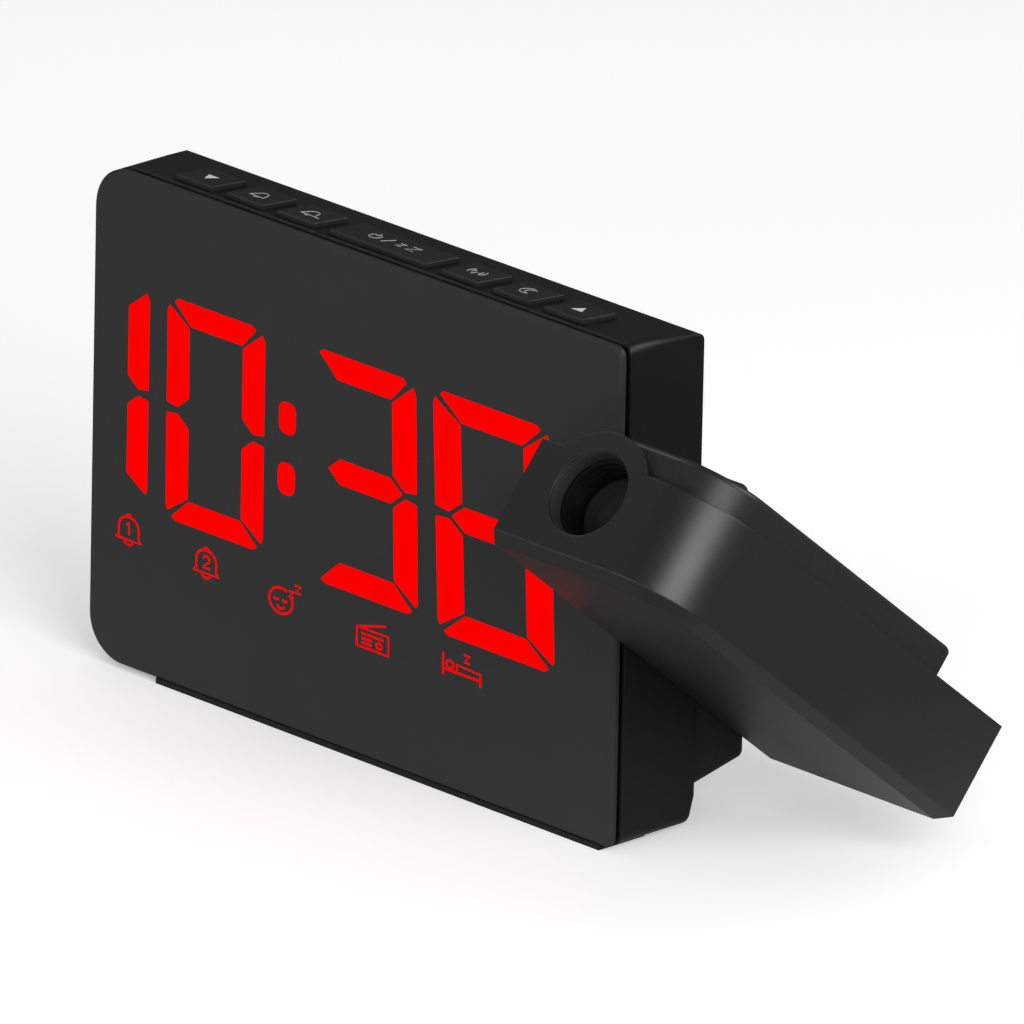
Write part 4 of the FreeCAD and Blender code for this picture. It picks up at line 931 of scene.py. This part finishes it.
@dataclass
class Studio:
    """Pale floor, soft lamps and the camera at the photograph's angle.

    `focal_ratio` is the picture's scale at the aim, in pixels per millimetre. The levels are
    parts of white: the surroundings light the object at `light_level`, and its sheen sees them
    less `sheen_dimming`, because the photographed plastic mirrors no white surroundings.
    """

    azimuth: float = 45.663
    elevation: float = 19.598
    roll: float = 1.2
    distance: float = 4.4356
    focal_ratio: float = 5.862
    aim: Place = (0.015, 0.0002, 0.046)
    aim_right_px: float = 58.04
    aim_up_px: float = 0.32
    picture_px: float = 1024.0
    sensor_mm: float = 36.0
    floor_size: float = 3.2
    floor_glow: float = 0.31
    near_reflection: float = 0.012
    far_reflection: float = 0.085
    light_level: float = 0.45
    sheen_dimming: float = 0.32

    def axes(self) -> tuple[Vector, Vector, Vector]:
        """Gives the camera's right, up and backward directions.

        Returns:
            Three unit vectors.
        """
        a, e, r = (math.radians(v) for v in (self.azimuth, self.elevation, self.roll))
        right = Vector((math.cos(a), math.sin(a), 0.0))
        back = Vector((math.sin(a) * math.cos(e), -math.cos(a) * math.cos(e), math.sin(e)))
        up = back.cross(right)
        rolled_right = math.cos(r) * right + math.sin(r) * up
        rolled_up = -math.sin(r) * right + math.cos(r) * up
        return rolled_right, rolled_up, back

    def camera(self) -> None:
        """Places the camera."""
        right, up, back = self.axes()
        aim = Vector(self.aim)
        aim += right * (self.aim_right_px / self.focal_ratio * MM)
        aim += up * (self.aim_up_px / self.focal_ratio * MM)
        data = bpy.data.cameras.new("camera")
        data.sensor_width = self.sensor_mm
        focal_px = self.focal_ratio * self.distance / MM
        data.lens = focal_px * data.sensor_width / self.picture_px
        data.clip_start, data.clip_end = 0.1, 50.0
        holder = bpy.data.objects.new("camera", data)
        turn = Matrix((right, up, back)).transposed().to_4x4()
        holder.matrix_world = Matrix.Translation(aim + back * self.distance) @ turn
        bpy.context.collection.objects.link(holder)
        bpy.context.scene.camera = holder

    def floor(self) -> None:
        """Lays the pale floor, which the camera sees as white but for the object's shadow.

        Sheens see it pale close by and darker further away.
        """
        deselect()
        bpy.ops.mesh.primitive_plane_add(size=self.floor_size, location=(0.0, 0.0, 0.0))
        floor = bpy.context.object
        floor.name = "floor"
        material, tree = new_tree("pale floor")
        path = add_node(tree, "ShaderNodeLightPath")
        place = add_node(tree, "ShaderNodeTexCoord").outputs["Object"]
        cloud = add_node(tree, "ShaderNodeTexNoise", {"Vector": place, "Scale": 4.0})
        tone = add_node(tree, "ShaderNodeMix", {
            "Factor": cloud.outputs["Fac"], "A": linear("#f6f6f6"),
            "B": linear("#f8f8f8")}, data_type="RGBA")
        shader = add_node(tree, "ShaderNodeBsdfDiffuse", {"Color": tone.outputs["Result"]})
        glow = add_node(tree, "ShaderNodeEmission", {
            "Color": (1.0, 1.0, 1.0, 1.0), "Strength": self.floor_glow})
        lifted = add_node(tree, "ShaderNodeAddShader")
        tree.links.new(shader.outputs["BSDF"], lifted.inputs[0])
        tree.links.new(glow.outputs["Emission"], lifted.inputs[1])
        seen = add_node(tree, "ShaderNodeMixShader", {"Fac": path.outputs["Is Camera Ray"]})
        tree.links.new(shader.outputs["BSDF"], seen.inputs[1])
        tree.links.new(lifted.outputs["Shader"], seen.inputs[2])
        reach = add_node(tree, "ShaderNodeMapRange", {
            "Value": path.outputs["Ray Length"], "From Min": self.near_reflection,
            "From Max": self.far_reflection})
        fading = add_node(tree, "ShaderNodeMix", {
            "Factor": reach.outputs["Result"], "A": linear("#f6f6f6"),
            "B": linear("#989898")}, data_type="RGBA")
        grey = add_node(tree, "ShaderNodeBsdfDiffuse", {"Color": fading.outputs["Result"]})
        sheen = add_node(tree, "ShaderNodeMixShader", {"Fac": path.outputs["Is Glossy Ray"]})
        tree.links.new(seen.outputs["Shader"], sheen.inputs[1])
        tree.links.new(grey.outputs["BSDF"], sheen.inputs[2])
        add_node(tree, "ShaderNodeOutputMaterial", {"Surface": sheen.outputs["Shader"]})
        floor.data.materials.append(material)

    def world(self) -> None:
        """Makes the surroundings: white to the camera and through glass, dim in sheens."""
        world = bpy.data.worlds.new("studio")
        bpy.context.scene.world = world
        world.use_nodes = True
        tree = world.node_tree
        tree.nodes.clear()
        path = add_node(tree, "ShaderNodeLightPath")
        direct = add_node(tree, "ShaderNodeMath", {
            0: path.outputs["Is Camera Ray"],
            1: path.outputs["Is Transmission Ray"]}, operation="MAXIMUM")
        level = add_node(tree, "ShaderNodeMapRange", {
            "Value": direct.outputs["Value"], "To Min": self.light_level, "To Max": 1.0})
        dim = add_node(tree, "ShaderNodeMath", {
            0: path.outputs["Is Glossy Ray"], 1: self.sheen_dimming}, operation="MULTIPLY")
        strength = add_node(tree, "ShaderNodeMath", {
            0: level.outputs["Result"], 1: dim.outputs["Value"]}, operation="SUBTRACT")
        light = add_node(tree, "ShaderNodeBackground", {
            "Color": (1.0, 1.0, 1.0, 1.0), "Strength": strength.outputs["Value"]})
        add_node(tree, "ShaderNodeOutputWorld", {"Surface": light.outputs["Background"]})

    def build(self) -> None:
        """Builds floor, light and camera."""
        self.floor()
        self.world()
        for box in SOFT_BOXES:
            box.build()
        self.camera()
        bpy.context.scene.view_settings.view_transform = "Standard"


def main() -> None:
    """Dresses the frame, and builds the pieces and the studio."""
    logging.basicConfig(level=logging.INFO)
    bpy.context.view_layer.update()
    finishes = Finishes()
    finishes.dress_nodes()
    LitTime(finishes).build()
    StatusSymbols(finishes).build()
    KeySymbols(finishes).build()
    LensHolePaintedLight(finishes).build()
    Studio().build()


if __name__ == "__main__":
    main()
